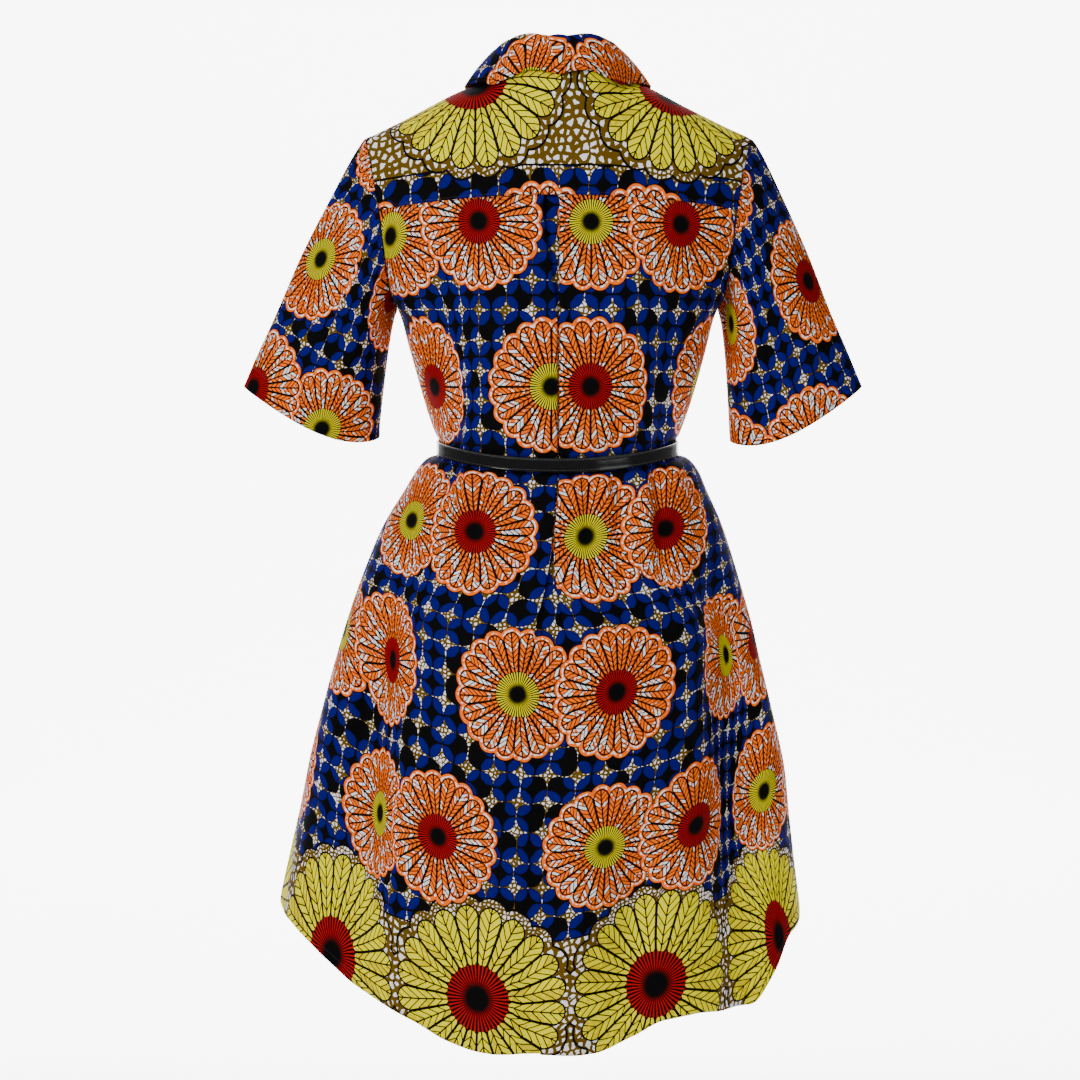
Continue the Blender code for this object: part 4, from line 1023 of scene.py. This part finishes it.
SLEEVE_HEMS = {1: ((331.0, -319.0), (188.0, -373.0)), -1: ((321.0, -319.0), (182.0, -377.0))}
SLEEVE_HEM_DEPTH, SLEEVE_HEM_Y, SLEEVE_BACK_DROP = 39.0, -4.0, 13.0
SLEEVE_REACH, CAP_REACH, CAP_SPREAD = 7.0, 8.0, 40.0
UNDERARM_LOW, UNDERARM_HIGH, UNDERARM_REACH, UNDERARM_GAP = -212.0, -140.0, 7.0, 0.5
UNDERARM_WAY, OUTWARDS = np.array([0.5, 0.0, -0.87]), np.array([1.0, 0.0, 0.0])
SLEEVE_LENGTHS = np.concatenate([np.linspace(0, 0.12, 9)[:-1], np.linspace(0.12, 1, 62)])
SLEEVE_CREASES = [
    # x1, z1, x2, z2, half_width, depth, full_at_start
    (196, -226, 262, -296, 9, -3.2, 0),
    (190, -246, 246, -330, 8, 2.6, 0),
    (204, -206, 290, -262, 10, -2.6, 0),
    (214, -110, 300, -250, 13, 2.4, 0),
    (196, -282, 232, -352, 7, -2.2, 0),
    (240, -170, 314, -300, 12, -2.0, 0),
]
# The sleeves' print is turned upside down. Where it lies at the hem's back: across, height, and its lean
SLEEVE_PRINT = {1: (-27.0, 619.0, 0.09), -1: (252.8, 586.0, 0.0)}
SLEEVE_PRINT_EASE = 1.15
SLEEVE_SLACK, SLEEVE_SEED, RIGHT_CREASES_MOVED = 0.8, 0.7, (6, 0, -4)


def armhole_loop(back, front, yoke):
    """The seam round one armhole, up the back and down the front, and where the cloth runs over it."""
    seam, inside = [], []
    for row in range(ARMHOLE_ROWS - 1, 0, -1):
        seam.append(back[row, 0])
        inside.append(back[row, 12])
    for column in range(YOKE_EDGE_COLUMNS, -1, -1):
        seam.append(yoke[-1, column])
        inside.append(yoke[-7, column])
    for row in range(1, ARMHOLE_ROWS - 1):
        seam.append(front[row, 0])
        inside.append(front[row, 12])
    seam, inside = np.array(seam), np.array(inside)
    seam[0, 1] = (back[ARMHOLE_ROWS - 1, 0, 1] + front[ARMHOLE_ROWS - 1, 0, 1]) / 2
    return seam, unit(seam - inside)


def lengths_round(loop):
    steps = np.linalg.norm(np.roll(loop, -1, axis=0) - loop, axis=1)
    return np.concatenate([[0], np.cumsum(steps)])


seam, run = armhole_loop(back_grid, front_grids[1], yoke_grid)
low = 1 - smoothstep(UNDERARM_LOW, UNDERARM_HIGH, seam[:, 2])[:, None]
sleeve_start = seam + unit(run * (1 - low) + OUTWARDS * low) * (SEAM_GAP + 0.1 + UNDERARM_GAP * low)
first_way = unit(run * (1 - low) + UNDERARM_WAY * low)
along = lengths_round(seam)
top = int(np.argmax(seam[:, 2]))
past_top = (along[:-1] - along[top]) / (along[-1] - along[top])
turn = 180 * np.where(np.arange(len(seam)) <= top, along[:-1] / along[top], 1 + past_top)
cap = np.exp(-(((turn - 180) / CAP_SPREAD) ** 2))
reach = SLEEVE_REACH + UNDERARM_REACH * low[:, 0] + CAP_REACH * cap
first = sleeve_start + first_way * reach[:, None]
c, s = np.cos(np.radians(turn)), np.sin(np.radians(turn))
t = SLEEVE_LENGTHS[:, None, None]
sleeve_hem_rows = []
for side in (1, -1):
    outer, inner = np.array(SLEEVE_HEMS[side])
    middle, half = (outer + inner) / 2, (inner - outer) / 2
    hem_z = middle[1] + half[1] * c - SLEEVE_BACK_DROP * (0.3 + s) * np.abs(s) * (1 + 0.45 * c)
    hem = np.stack([middle[0] + half[0] * c, SLEEVE_HEM_Y + SLEEVE_HEM_DEPTH * s, hem_z], -1)
    near_start = sleeve_start * (1 - t) ** 3 + first * 3 * t * (1 - t) ** 2
    near_hem = (first + hem) / 2 * 3 * t**2 * (1 - t) + hem * t**3
    right_way = near_start + near_hem
    core = right_way.mean(axis=1, keepdims=True)
    out = unit(right_way - core)
    hold = smoothstep(0, 0.12, SLEEVE_LENGTHS)[:, None] * (1 - smoothstep(0.93, 1, SLEEVE_LENGTHS))[:, None]
    shifted = right_way + np.array(RIGHT_CREASES_MOVED) * (side < 0)
    waves = slack(right_way * (1, 1, 0.7), SLEEVE_SEED + side)
    moves = crease_moves(shifted, SLEEVE_CREASES) + SLEEVE_SLACK * waves
    edge_roll = np.zeros(right_way.shape[:2])
    edge_roll[0] = 1
    sleeve_cloth = (right_way + out * (moves * hold - SEAM_ROLL * edge_roll)[..., None]) * (side, 1, 1)
    sleeve_grid = right_way * (side, 1, 1)
    sleeve_hem_rows.append(sleeve_cloth[-5])
    print_across, print_height, print_lean = SLEEVE_PRINT[side]
    down = lengths(right_way, 0)
    from_hem = down[-1:] - down
    back_column = int(np.argmin(np.abs(turn - 90)))
    across = lengths(wrapped(right_way), 1)
    across = across - across[:, back_column : back_column + 1]
    upwards = wrapped(from_hem)
    print_u = side * SLEEVE_PRINT_EASE * across + print_across + print_lean * upwards
    flat = np.stack([print_u, print_height - upwards], -1)
    name = "sleeve_left" if side > 0 else "sleeve_right"
    core = sleeve_cloth.mean(axis=1, keepdims=True)
    sleeve = cloth_sheet(name + "_cloth", sleeve_cloth, flat, CLOTH, wax_cotton, core, closed=True)
    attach(sleeve, "root")
    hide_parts(name)

# Collar stand: a band of the cotton over stiffening, sewn upright round the neck.

NECK_END, STAND_HEIGHT, STAND_LEAN, STAND_UPRIGHT = 178.8, 22.0, 4.0, 0.85
STAND_GAP_BACK, STAND_GAP_FRONT, COLLAR_CLOTH = 0.7, 2.1, 1.6
COLLAR_STATIONS, STAND_ROWS = 170, 12
UPWARDS = np.array([0.0, 0.0, 1.0])


def neck_frame(stations):
    """Points of the neck seam with directions out of the neck and up the collar's stand."""

    def seam_at(stations):
        x, turn = neckline(np.abs(stations))
        return over_point(np.where(stations < 0, -x, x), turn)

    seam = seam_at(stations)
    along = unit(seam_at(stations + 0.5) - seam_at(stations - 0.5))
    out = seam * (1 / NECK_WIDTH**2, 1 / NECK_HALF_DEPTH**2, 0)
    out = unit(out - along * np.sum(out * along, -1, keepdims=True))
    up = unit(np.cross(along, out))
    up *= np.sign(up[:, 2:])
    front = smoothstep(90, 180, np.abs(stations))[:, None]
    up = unit(up * (1 - STAND_UPRIGHT * front) + UPWARDS * STAND_UPRIGHT * front)
    return seam, out, up


stations = np.linspace(-NECK_END, NECK_END, COLLAR_STATIONS + 1)
seam, out, up = neck_frame(stations)
front_share = smoothstep(90, 180, np.abs(stations))[:, None]
gap = STAND_GAP_BACK + (STAND_GAP_FRONT - STAND_GAP_BACK) * front_share
stand_grid = np.array(
    [
        seam + up * (gap + h) - out * STAND_LEAN * (h / STAND_HEIGHT) ** 1.5
        for h in np.linspace(0, STAND_HEIGHT, STAND_ROWS)
    ]
)
stand_flat = flat_place(stand_grid, COLLAR_STATIONS // 2, 0)
stand = cloth_sheet("collar_stand_cloth", stand_grid, stand_flat, COLLAR_CLOTH, wax_cotton, stand_grid * (0, 0, 1))
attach(stand, "root")
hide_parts("collar_stand")

# Collar: two layers of the cotton over stiffening, turned down over the stand and ending in two points.

COLLAR_EDGE = table(
    # station, x, turn
    (0, 0, 42),
    (30, 44, 52),
    (60, 75, 70),
    (90, 96, 91),
    (120, 95, 121),
    (150, 79, 145),
    (180, 57, 157),
)
COLLAR_ROLL = ((0.0, 0.0), (2.4, 0.0), (4.6, 2.2), (4.6, 5.4), (2.6, 8.2))
COLLAR_FALL = (0.28, 0.62, 1.0)
COLLAR_FRONT_REACH, COLLAR_BULGE, COLLAR_CLEAR, COLLAR_START = 0.5, 5.0, 2.1, 0.6
COLLAR_ROW_STEPS = 5
COLLAR_CAD_CLOTH, COLLAR_THICKNESS = 1.8, 1.6
COLLAR_PRINT_PLACE, COLLAR_PRINT_DROP, COLLAR_PRINT_EASE = -10.0, -19.0, 1.05

size = np.abs(stations) * 180 / NECK_END
x, turn = np.sign(stations) * smooth_curve(COLLAR_EDGE, 1)(size), smooth_curve(COLLAR_EDGE, 2)(size)
lower = over_point(x, turn)
lift = unit(np.cross(over_point(x, turn + 1) - lower, over_point(x + 1, turn) - lower))
lift *= np.sign(np.sum(lift * (lower * (1, 1, 0) + UPWARDS * 60), -1, keepdims=True))
lower = lower + lift * (COLLAR_CLEAR + COLLAR_CAD_CLOTH)
start = stand_grid[-1] - out * COLLAR_CAD_CLOTH + up * COLLAR_START
wider = 1 + COLLAR_FRONT_REACH * front_share
collar_rows = [start + up * rise + out * way * wider for rise, way in COLLAR_ROLL]
rolled = collar_rows[-1]
for share in COLLAR_FALL:
    bulge = (out + up * 0.5) * COLLAR_BULGE * share * (1 - share)
    collar_rows.append(rolled + (lower - rolled) * share + bulge)
collar_rows = np.array(collar_rows)


def catmull_rom(rows, steps, closed=False):
    """A smooth curve through points, or through the rows of a grid, with this many steps between each two."""
    if closed:
        padded = np.concatenate([rows[-1:], rows, rows[:2]])
    else:
        padded = np.concatenate([2 * rows[:1] - rows[1:2], rows, 2 * rows[-1:] - rows[-2:-1]])
    made = []
    for i in range(len(padded) - 3):
        a, b, c, d = padded[i : i + 4]
        for t in np.arange(steps) / steps:
            bent = (2 * a - 5 * b + 4 * c - d) * t**2 + (3 * b - a - 3 * c + d) * t**3
            made.append(0.5 * (2 * b + (c - a) * t + bent))
    return np.array(made if closed else made + [rows[-1]])


collar_grid = catmull_rom(collar_rows, COLLAR_ROW_STEPS)
collar_flat = flat_place(collar_grid, COLLAR_STATIONS // 2, len(collar_grid) - 1)
collar_height = (collar_flat[..., 1] - collar_flat[-1:, :, 1]) * COLLAR_PRINT_EASE - COLLAR_PRINT_DROP
collar_across = np.sign(stations) * np.abs(collar_flat[-1, :, 0]) + 0 * collar_height
collar_flat = np.stack([COLLAR_PRINT_PLACE - collar_across, FIRST_ROW + ROW_STEP + collar_height], -1)
collar = cloth_sheet("collar_fall", collar_grid, collar_flat, COLLAR_THICKNESS, wax_cotton, (0, 0, SPRING))
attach(collar, "root")
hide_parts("collar")

# Topstitching: lines of black thread along the yoke's seams, the collar's edge, the button band and the hems.

THREAD_STEP, THREAD_LENGTH, THREAD_WIDTH, THREAD_SEED = 2.6, 2.0, 0.42, 7
BEAD_SIDES, BEAD_RINGS, UNEVEN_LENGTH = 8, 6, (0.88, 1.1)


def stitch_nodes():
    """Geometry Nodes: a bead of thread at even steps along each run of edges."""
    tree = bpy.data.node_groups.new("stitch_run", "GeometryNodeTree")
    tree.interface.new_socket("Runs", in_out="INPUT", socket_type="NodeSocketGeometry")
    for name in ("Step", "Length", "Width"):
        tree.interface.new_socket(name, in_out="INPUT", socket_type="NodeSocketFloat")
    tree.interface.new_socket("Seed", in_out="INPUT", socket_type="NodeSocketInt")
    tree.interface.new_socket("Thread", in_out="INPUT", socket_type="NodeSocketMaterial")
    tree.interface.new_socket("Stitches", in_out="OUTPUT", socket_type="NodeSocketGeometry")
    given, made = tree.nodes.new("NodeGroupInput"), tree.nodes.new("NodeGroupOutput")
    kinds = ("MeshToCurve", "CurveToPoints", "MeshUVSphere", "InstanceOnPoints", "RealizeInstances", "SetMaterial")
    line, spots, bead, placed, real, painted = (tree.nodes.new("GeometryNode" + kind) for kind in kinds)
    spots.mode = "LENGTH"
    bead.inputs["Segments"].default_value, bead.inputs["Rings"].default_value = BEAD_SIDES, BEAD_RINGS
    bead.inputs["Radius"].default_value = 0.5
    turned = tree.nodes.new("FunctionNodeAlignRotationToVector")
    turned.axis = "Z"
    uneven = tree.nodes.new("FunctionNodeRandomValue")
    uneven.inputs[2].default_value, uneven.inputs[3].default_value = UNEVEN_LENGTH
    longer = tree.nodes.new("ShaderNodeMath")
    longer.operation = "MULTIPLY"
    size = tree.nodes.new("ShaderNodeCombineXYZ")
    for source, target in (
        (given.outputs["Runs"], line.inputs["Mesh"]),
        (line.outputs["Curve"], spots.inputs["Curve"]),
        (given.outputs["Step"], spots.inputs["Length"]),
        (spots.outputs["Points"], placed.inputs["Points"]),
        (bead.outputs["Mesh"], placed.inputs["Instance"]),
        (spots.outputs["Tangent"], turned.inputs["Vector"]),
        (turned.outputs["Rotation"], placed.inputs["Rotation"]),
        (given.outputs["Seed"], uneven.inputs["Seed"]),
        (given.outputs["Length"], longer.inputs[0]),
        (uneven.outputs[1], longer.inputs[1]),
        (given.outputs["Width"], size.inputs["X"]),
        (given.outputs["Width"], size.inputs["Y"]),
        (longer.outputs[0], size.inputs["Z"]),
        (size.outputs[0], placed.inputs["Scale"]),
        (placed.outputs["Instances"], real.inputs["Geometry"]),
        (real.outputs["Geometry"], painted.inputs["Geometry"]),
        (given.outputs["Thread"], painted.inputs["Material"]),
        (painted.outputs["Geometry"], made.inputs["Stitches"]),
    ):
        tree.links.new(source, target)
    return tree


stitch_tree = stitch_nodes()


def stitched(name, runs, step, length, width, material):
    """A piece of thread: stitches along runs of points, given in mm."""
    starts = np.cumsum([0] + [len(run) for run in runs])
    edges = [(i, i + 1) for start, run in zip(starts, runs) for i in range(start, start + len(run) - 1)]
    lines = bpy.data.meshes.new(name + "_runs")
    lines.from_pydata((np.concatenate(runs) * MM).tolist(), edges, [])
    piece = into_scene(name, lines)
    modifier = piece.modifiers.new("Stitches", "NODES")
    modifier.node_group = stitch_tree
    values = {"Step": step * MM, "Length": length * MM, "Width": width * MM, "Seed": THREAD_SEED, "Thread": material}
    for socket in stitch_tree.interface.items_tree:
        if socket.in_out == "INPUT" and socket.name in values:
            modifier[socket.identifier] = values[socket.name]
    made = bpy.data.meshes.new_from_object(piece.evaluated_get(bpy.context.evaluated_depsgraph_get()))
    piece.modifiers.remove(modifier)
    piece.data = made
    bpy.data.meshes.remove(lines)
    made.shade_smooth()
    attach(piece, "root")
    return piece


def thread_finish(name, dark, light):
    material, shader, shade = new_finish(name, 0.7)
    strands = shade.on_object().noise(1500.0, 1.0)
    strands.colour(dark, light).into(shader, "Base Color")
    (strands * 0.2 + 0.55).into(shader, "Roughness")
    return material


black_thread = thread_finish("black_thread", (0.003, 0.003, 0.004), (0.03, 0.03, 0.035))
inner = slice(YOKE_EDGE_COLUMNS + 1, yoke_cloth.shape[1] - YOKE_EDGE_COLUMNS - 1)
runs = [yoke_cloth[-3, inner], yoke_cloth[:-2, 2], yoke_cloth[:-2, -3], back_cloth[-3, 2:-2], collar_grid[-3, 3:-3]]
runs += [front_cloths[side][-3, 2:-6] for side in (1, -1)]
runs += [placket_grid[4:-4, near] * 0.55 + placket_grid[4:-4, edge] * 0.45 for near, edge in ((0, 1), (-1, -2))]
runs += [np.concatenate([row, row[:1]]) for row in sleeve_hem_rows]
stitched("seam_topstitching", runs, THREAD_STEP, THREAD_LENGTH, THREAD_WIDTH, black_thread)

# Belt: a narrow strip of black patent leather with raised piping on both edges and a row of stitches
# beside it, run through the buckle at centre front and on over its own start.

BELT_WIDTH, BELT_THICK, BELT_OFF_CLOTH = 15.0, 2.5, 0.6
BELT_OFF_PLACKET, PLACKET_RISE_HALF = 2.8, 48.0
TAIL_LENGTH, TAIL_GAP, TIP_LENGTH, TIP_WIDTH = 92.0, 0.9, 9, 0.35
TAIL_RISES, BELT_EDGE_ANGLE = (12, 1.5), math.radians(28)
BELT_PITCH, PIPING = 2.4, 0.32
BUCKLE_LENGTH, BUCKLE_WIDTH, BUCKLE_WIRE, BUCKLE_CORNER = 15.0, 18.6, 1.1, 2.5
BELT_STITCH_FROM_EDGE, BELT_STITCH_STEP, BELT_STITCH_LENGTH, BELT_STITCH_WIDTH = 2.3, 2.6, 1.7, 0.45


def belt_level(face, angle):
    dip = BELT_BACK_DIP if face > 0 else BELT_FRONT_DIP
    return BELT_SIDE - dip * np.cos(np.radians(angle)) ** 2


quarter = np.linspace(0, 90, 181)
front_left = form_point(-1, 1, quarter, belt_level(-1, quarter))
back_left = form_point(1, 1, quarter, belt_level(1, quarter))[::-1]
left = np.concatenate([front_left, back_left[1:]])
loop = np.concatenate([left, left[-2:0:-1] * (-1, 1, 1)])
loop_out = unit(np.cross(np.roll(loop, -1, 0) - np.roll(loop, 1, 0), (0, 0, 1)))
rise = 1 - smoothstep(0.45, 1.0, np.abs(loop[:, 0]) / PLACKET_RISE_HALF)
rise = np.where(loop[:, 1] < 0, rise, 0)
loop = loop + loop_out * (BELT_OFF_CLOTH + (BELT_OFF_PLACKET - BELT_OFF_CLOTH) * rise)[:, None]
loop_length = lengths_round(loop)
loop, loop_out = np.vstack([loop, loop[:1]]), np.vstack([loop_out, loop_out[:1]])
around = loop_length[-1]


def belt_at(along):
    along = np.mod(along, around)
    point = np.stack([np.interp(along, loop_length, loop[:, c]) for c in range(3)], -1)
    normal = unit(np.stack([np.interp(along, loop_length, loop_out[:, c]) for c in range(3)], -1))
    return point, normal


def belt_place(along, off, across):
    point, normal = belt_at(np.atleast_1d(np.asarray(along, float)))
    return point + normal * np.reshape(off, (-1, 1)) + np.array([0, 0, 1]) * np.reshape(across, (-1, 1))


belt_start, belt_end = BUCKLE_WIRE + TAIL_GAP, around + TAIL_LENGTH
belt_along = np.linspace(belt_start, belt_end, int((belt_end - belt_start) / BELT_PITCH))
belt_lift = (BELT_THICK + TAIL_GAP) * smoothstep(around - TAIL_RISES[0], around - TAIL_RISES[1], belt_along)
half, thick = BELT_WIDTH / 2, BELT_THICK
belt_profile = [(0.35, -half), (0.0, -half + 0.4), (0.0, half - 0.4), (0.35, half)]
top_profile = [(thick * 0.6, half), (thick - 0.2, half - 0.1), (thick, half - 0.45), (thick, half - 0.8)]
top_profile += [(thick - 0.22, half - 1.15), (thick - PIPING, half - 1.5), (thick - PIPING + 0.1, half * 0.4)]
belt_profile = belt_profile[::-1] + [(off, -across) for off, across in top_profile]
belt_profile += [(off, across) for off, across in top_profile[::-1]]
belt_rows = []
for off, across in belt_profile:
    row_across = across * np.ones_like(belt_along)
    tip = TIP_WIDTH + (1 - TIP_WIDTH) * smoothstep(0, TIP_LENGTH, belt_end - belt_along) ** 0.5
    belt_rows.append(belt_place(belt_along, belt_lift + off, row_across * tip))
belt_rows = np.array(belt_rows)
count, pitch_count = belt_rows.shape[:2]
number = np.arange(count * pitch_count).reshape(count, pitch_count)
belt_faces = [*quads(wrapped(number.T)), number[:, 0], number[::-1, -1]]

patent, patent_shader, shade = new_finish(
    "black_patent", 0.12, Specular_IOR_Level=0.36, Base_Color=(0.002, 0.002, 0.0025, 1)
)
where = shade.on_object()
(where.noise(35.0, 2.0) * 0.14 + 0.07).into(patent_shader, "Roughness")
bump = {"Height": where.noise(160.0, 2.0), "Strength": 0.25, "Distance": 0.0006}
shade.add("ShaderNodeBump", 0, bump).into(patent_shader, "Normal")


def outside_out(piece):
    """Turns a closed mesh's faces outwards."""
    mesh = piece.data
    mesh.calc_loop_triangles()
    corners = np.array([v.co for v in mesh.vertices])[[t.vertices[:] for t in mesh.loop_triangles]]
    if np.linalg.det(corners - corners.reshape(-1, 3).mean(0)).sum() < 0:
        mesh.flip_normals()
    return piece


belt = outside_out(mesh_piece("belt_strip", belt_rows.reshape(-1, 3) * MM, belt_faces, patent))
belt.data.set_sharp_from_angle(angle=BELT_EDGE_ANGLE)
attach(belt, "root")
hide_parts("belt")
belt_thread = thread_finish("belt_thread", (0.02, 0.02, 0.022), (0.12, 0.12, 0.13))
run_along = belt_along[2:-8]
run_lift = belt_lift[2:-8] + BELT_THICK - PIPING + BELT_STITCH_WIDTH * 0.3
runs = [belt_place(run_along, run_lift, edge * (half - BELT_STITCH_FROM_EDGE) + 0 * run_along) for edge in (1, -1)]
stitched("belt_stitches", runs, BELT_STITCH_STEP, BELT_STITCH_LENGTH, BELT_STITCH_WIDTH, belt_thread)

# Buckle frame: black-plated wire bent to a rectangle with rounded corners, held in the belt's end.

SMOOTH_WIRE = 8


def wire_mesh(name, points, radius, material, closed, sides=16):
    """A round wire along a smooth run of points."""
    course = catmull_rom(np.asarray(points, float), SMOOTH_WIRE, closed)
    if closed:
        way = unit(np.roll(course, -1, 0) - np.roll(course, 1, 0))
    else:
        way = unit(np.gradient(course, axis=0))
    across = unit(np.cross(way, (0.3, 1.0, 0.2)))
    over = np.cross(way, across)
    angle = np.linspace(0, math.tau, sides, endpoint=False)
    c, s = np.cos(angle)[None, :, None], np.sin(angle)[None, :, None]
    ring = course[:, None] + radius * (c * across[:, None] + s * over[:, None])
    number = wrapped(np.arange(len(course) * sides).reshape(len(course), sides))
    if closed:
        faces = quads(np.vstack([number, number[:1]]))
    else:
        faces = [*quads(number), number[0, :-1], number[-1, -2::-1]]
    return outside_out(mesh_piece(name, ring.reshape(-1, 3) * MM, faces, material))


black_metal, metal_shader, shade = new_finish(
    "black_metal_finish", 0.3, Metallic=1.0, Base_Color=(0.05, 0.05, 0.055, 1)
)
(shade.on_object().noise(300.0, 3.0) * 0.2 + 0.2).into(metal_shader, "Roughness")

bar, outer = BUCKLE_WIRE + 0.3, BELT_THICK + BUCKLE_WIRE + 0.5
half, end, corner = BUCKLE_WIDTH / 2, -BUCKLE_LENGTH, BUCKLE_CORNER
upper = [
    # along, off, across
    (0.0, bar, 0.0),
    (0.0, bar, half - corner),
    (-0.7, bar + 0.1, half - 0.5),
    (-corner, bar + 0.4, half),
    (end + corner, outer - 0.3, half),
    (end + 0.7, outer - 0.1, half - 0.5),
    (end, outer, half - corner),
]
lower_half = [(along, off, -across) for along, off, across in upper[:0:-1]]
buckle_points = [belt_place(a, o, c)[0] for a, o, c in upper + [(end, outer, 0.0)] + lower_half]
buckle = wire_mesh("buckle_frame_wire", buckle_points, BUCKLE_WIRE, black_metal, closed=True)
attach(buckle, "root")
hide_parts("buckle_frame")

# Buckle prong: a thinner pin of the same metal over the belt's end.

PRONG_WIRE = 0.8
tail_top = 2 * BELT_THICK + TAIL_GAP
prong_run = [
    # along, off
    (2.0, tail_top + 1.2),
    (-4.0, tail_top + 1.3),
    (-10.0, tail_top + 1.6),
    (end - 1.6, outer + 2 * BUCKLE_WIRE + 0.3),
]
prong_points = [belt_place(a, o, 0)[0] for a, o in prong_run]
prong = wire_mesh("buckle_prong_pin", prong_points, PRONG_WIRE, black_metal, closed=False)
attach(prong, "root")
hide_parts("buckle_prong")

# Belt keeper: a closed loop of the belt's leather that holds the free end down.

KEEPER_PLACE, KEEPER_LENGTH, KEEPER_WALL, LOOP_CORNER = 24.0, 8.0, 1.2, 1.1
low, high = -0.3 - KEEPER_WALL, tail_top + LAY_GAP + KEEPER_WALL
wide = BELT_WIDTH / 2 + LAY_GAP + KEEPER_WALL
keeper_ring = []
for side_off, side_across, first_angle in ((1, 1, 0), (-1, 1, 90), (-1, -1, 180), (1, -1, 270)):
    corner_off = (low + high) / 2 + side_off * ((high - low) / 2 - LOOP_CORNER)
    corner_across = side_across * (wide - LOOP_CORNER)
    for step in range(6):
        keeper_ring.append((corner_off, corner_across, math.radians(first_angle + 18 * step)))
keeper_sides = [
    # along from its start, outwards
    (0.0, -0.25),
    (0.3, 0.0),
    (KEEPER_LENGTH / 2, 0.1),
    (KEEPER_LENGTH - 0.3, 0.0),
    (KEEPER_LENGTH, -0.25),
]
keeper_points = []
for along_now, swell in keeper_sides:
    radius = LOOP_CORNER + swell
    ring = [(off + radius * math.cos(a), across + radius * math.sin(a)) for off, across, a in keeper_ring]
    keeper_points.append([belt_place(KEEPER_PLACE + along_now, off, across)[0] for off, across in ring])
keeper_points = np.array(keeper_points)
keeper_flat = np.zeros((len(keeper_points), keeper_points.shape[1] + 1, 2))
core = keeper_points.mean(axis=1, keepdims=True)
keeper = cloth_sheet("belt_keeper_loop", keeper_points, keeper_flat, KEEPER_WALL - 0.3, patent, core, closed=True)
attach(keeper, "root")
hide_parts("belt_keeper")

# Buttons: eight pressed buttons with a raised rim and a shallow dish, sewn to the band with two bars of thread.

BUTTON_THICK, BUTTON_SIDES = 2.4, 40
BUTTON_HEIGHTS = (-92.0, -165.0, -238.0, -311.0, -455.0, -540.0, -625.0, -710.0)
BAR_PLACE, BAR_HEIGHT, BAR_STEP, BAR_LENGTH, BUTTON_THREAD = 1.35, 0.45, 0.9, 1.5, 0.6
BUTTON_COLOURS = (0.008, 0.011, 0.035), (0.02, 0.028, 0.08)

plastic, plastic_shader, shade = new_finish("dark_button_plastic", 0.25, Coat_Weight=0.3)
swirl = shade.on_object().noise(220.0, 3.0, Distortion=1.5)
swirl.colour(*BUTTON_COLOURS).into(plastic_shader, "Base Color")
(swirl * 0.12 + 0.2).into(plastic_shader, "Roughness")

button_profile = [
    # radius, height
    (0.0, -1.2),
    (4.6, -1.2),
    (5.45, -0.7),
    (5.75, 0.2),
    (5.5, 0.95),
    (5.0, 1.2),
    (4.5, 1.05),
    (4.1, 0.5),
    (3.0, 0.3),
    (0.0, 0.3),
]
button_mesh_points, button_mesh_faces, button_runs = [], [], []
for height in BUTTON_HEIGHTS:
    heights = placket_grid[:, 3, 2]
    row = int(np.clip(np.searchsorted(-heights, -height), 1, len(heights) - 1))
    share = (height - heights[row - 1]) / (heights[row] - heights[row - 1])
    point = placket_grid[row - 1, 3] * (1 - share) + placket_grid[row, 3] * share
    normal = Vector(unit(placket_out[row - 1, 3] * (1 - share) + placket_out[row, 3] * share))
    centre = Vector(point) + normal * (LAY_GAP + BUTTON_THICK / 2)
    turn_matrix = normal.to_track_quat("Z", "Y").to_matrix()
    for row_place in (BAR_PLACE, -BAR_PLACE):
        run = [Vector((end_place, row_place, BAR_HEIGHT)) for end_place in (-BAR_PLACE, 0, BAR_PLACE)]
        button_runs.append(np.array([centre + turn_matrix @ place for place in run]))
    first_index = len(button_mesh_points)
    for radius, rise_now in button_profile:
        for j in range(BUTTON_SIDES):
            a = math.tau * j / BUTTON_SIDES
            local = Vector((radius * math.cos(a), radius * math.sin(a), rise_now))
            button_mesh_points.append(centre + turn_matrix @ local)
    number = first_index + np.arange(len(button_profile) * BUTTON_SIDES).reshape(-1, BUTTON_SIDES)
    button_mesh_faces.extend(quads(wrapped(number).T))
buttons = mesh_piece("front_buttons", np.array(button_mesh_points) * MM, button_mesh_faces, plastic)
weld = buttons.modifiers.new("Centre", "WELD")
weld.merge_threshold = 0.00001
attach(buttons, "root")
for number in range(1, len(BUTTON_HEIGHTS) + 1):
    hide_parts(f"button_{number}")
stitched("button_thread", button_runs, BAR_STEP, BAR_LENGTH, BUTTON_THREAD, black_thread)
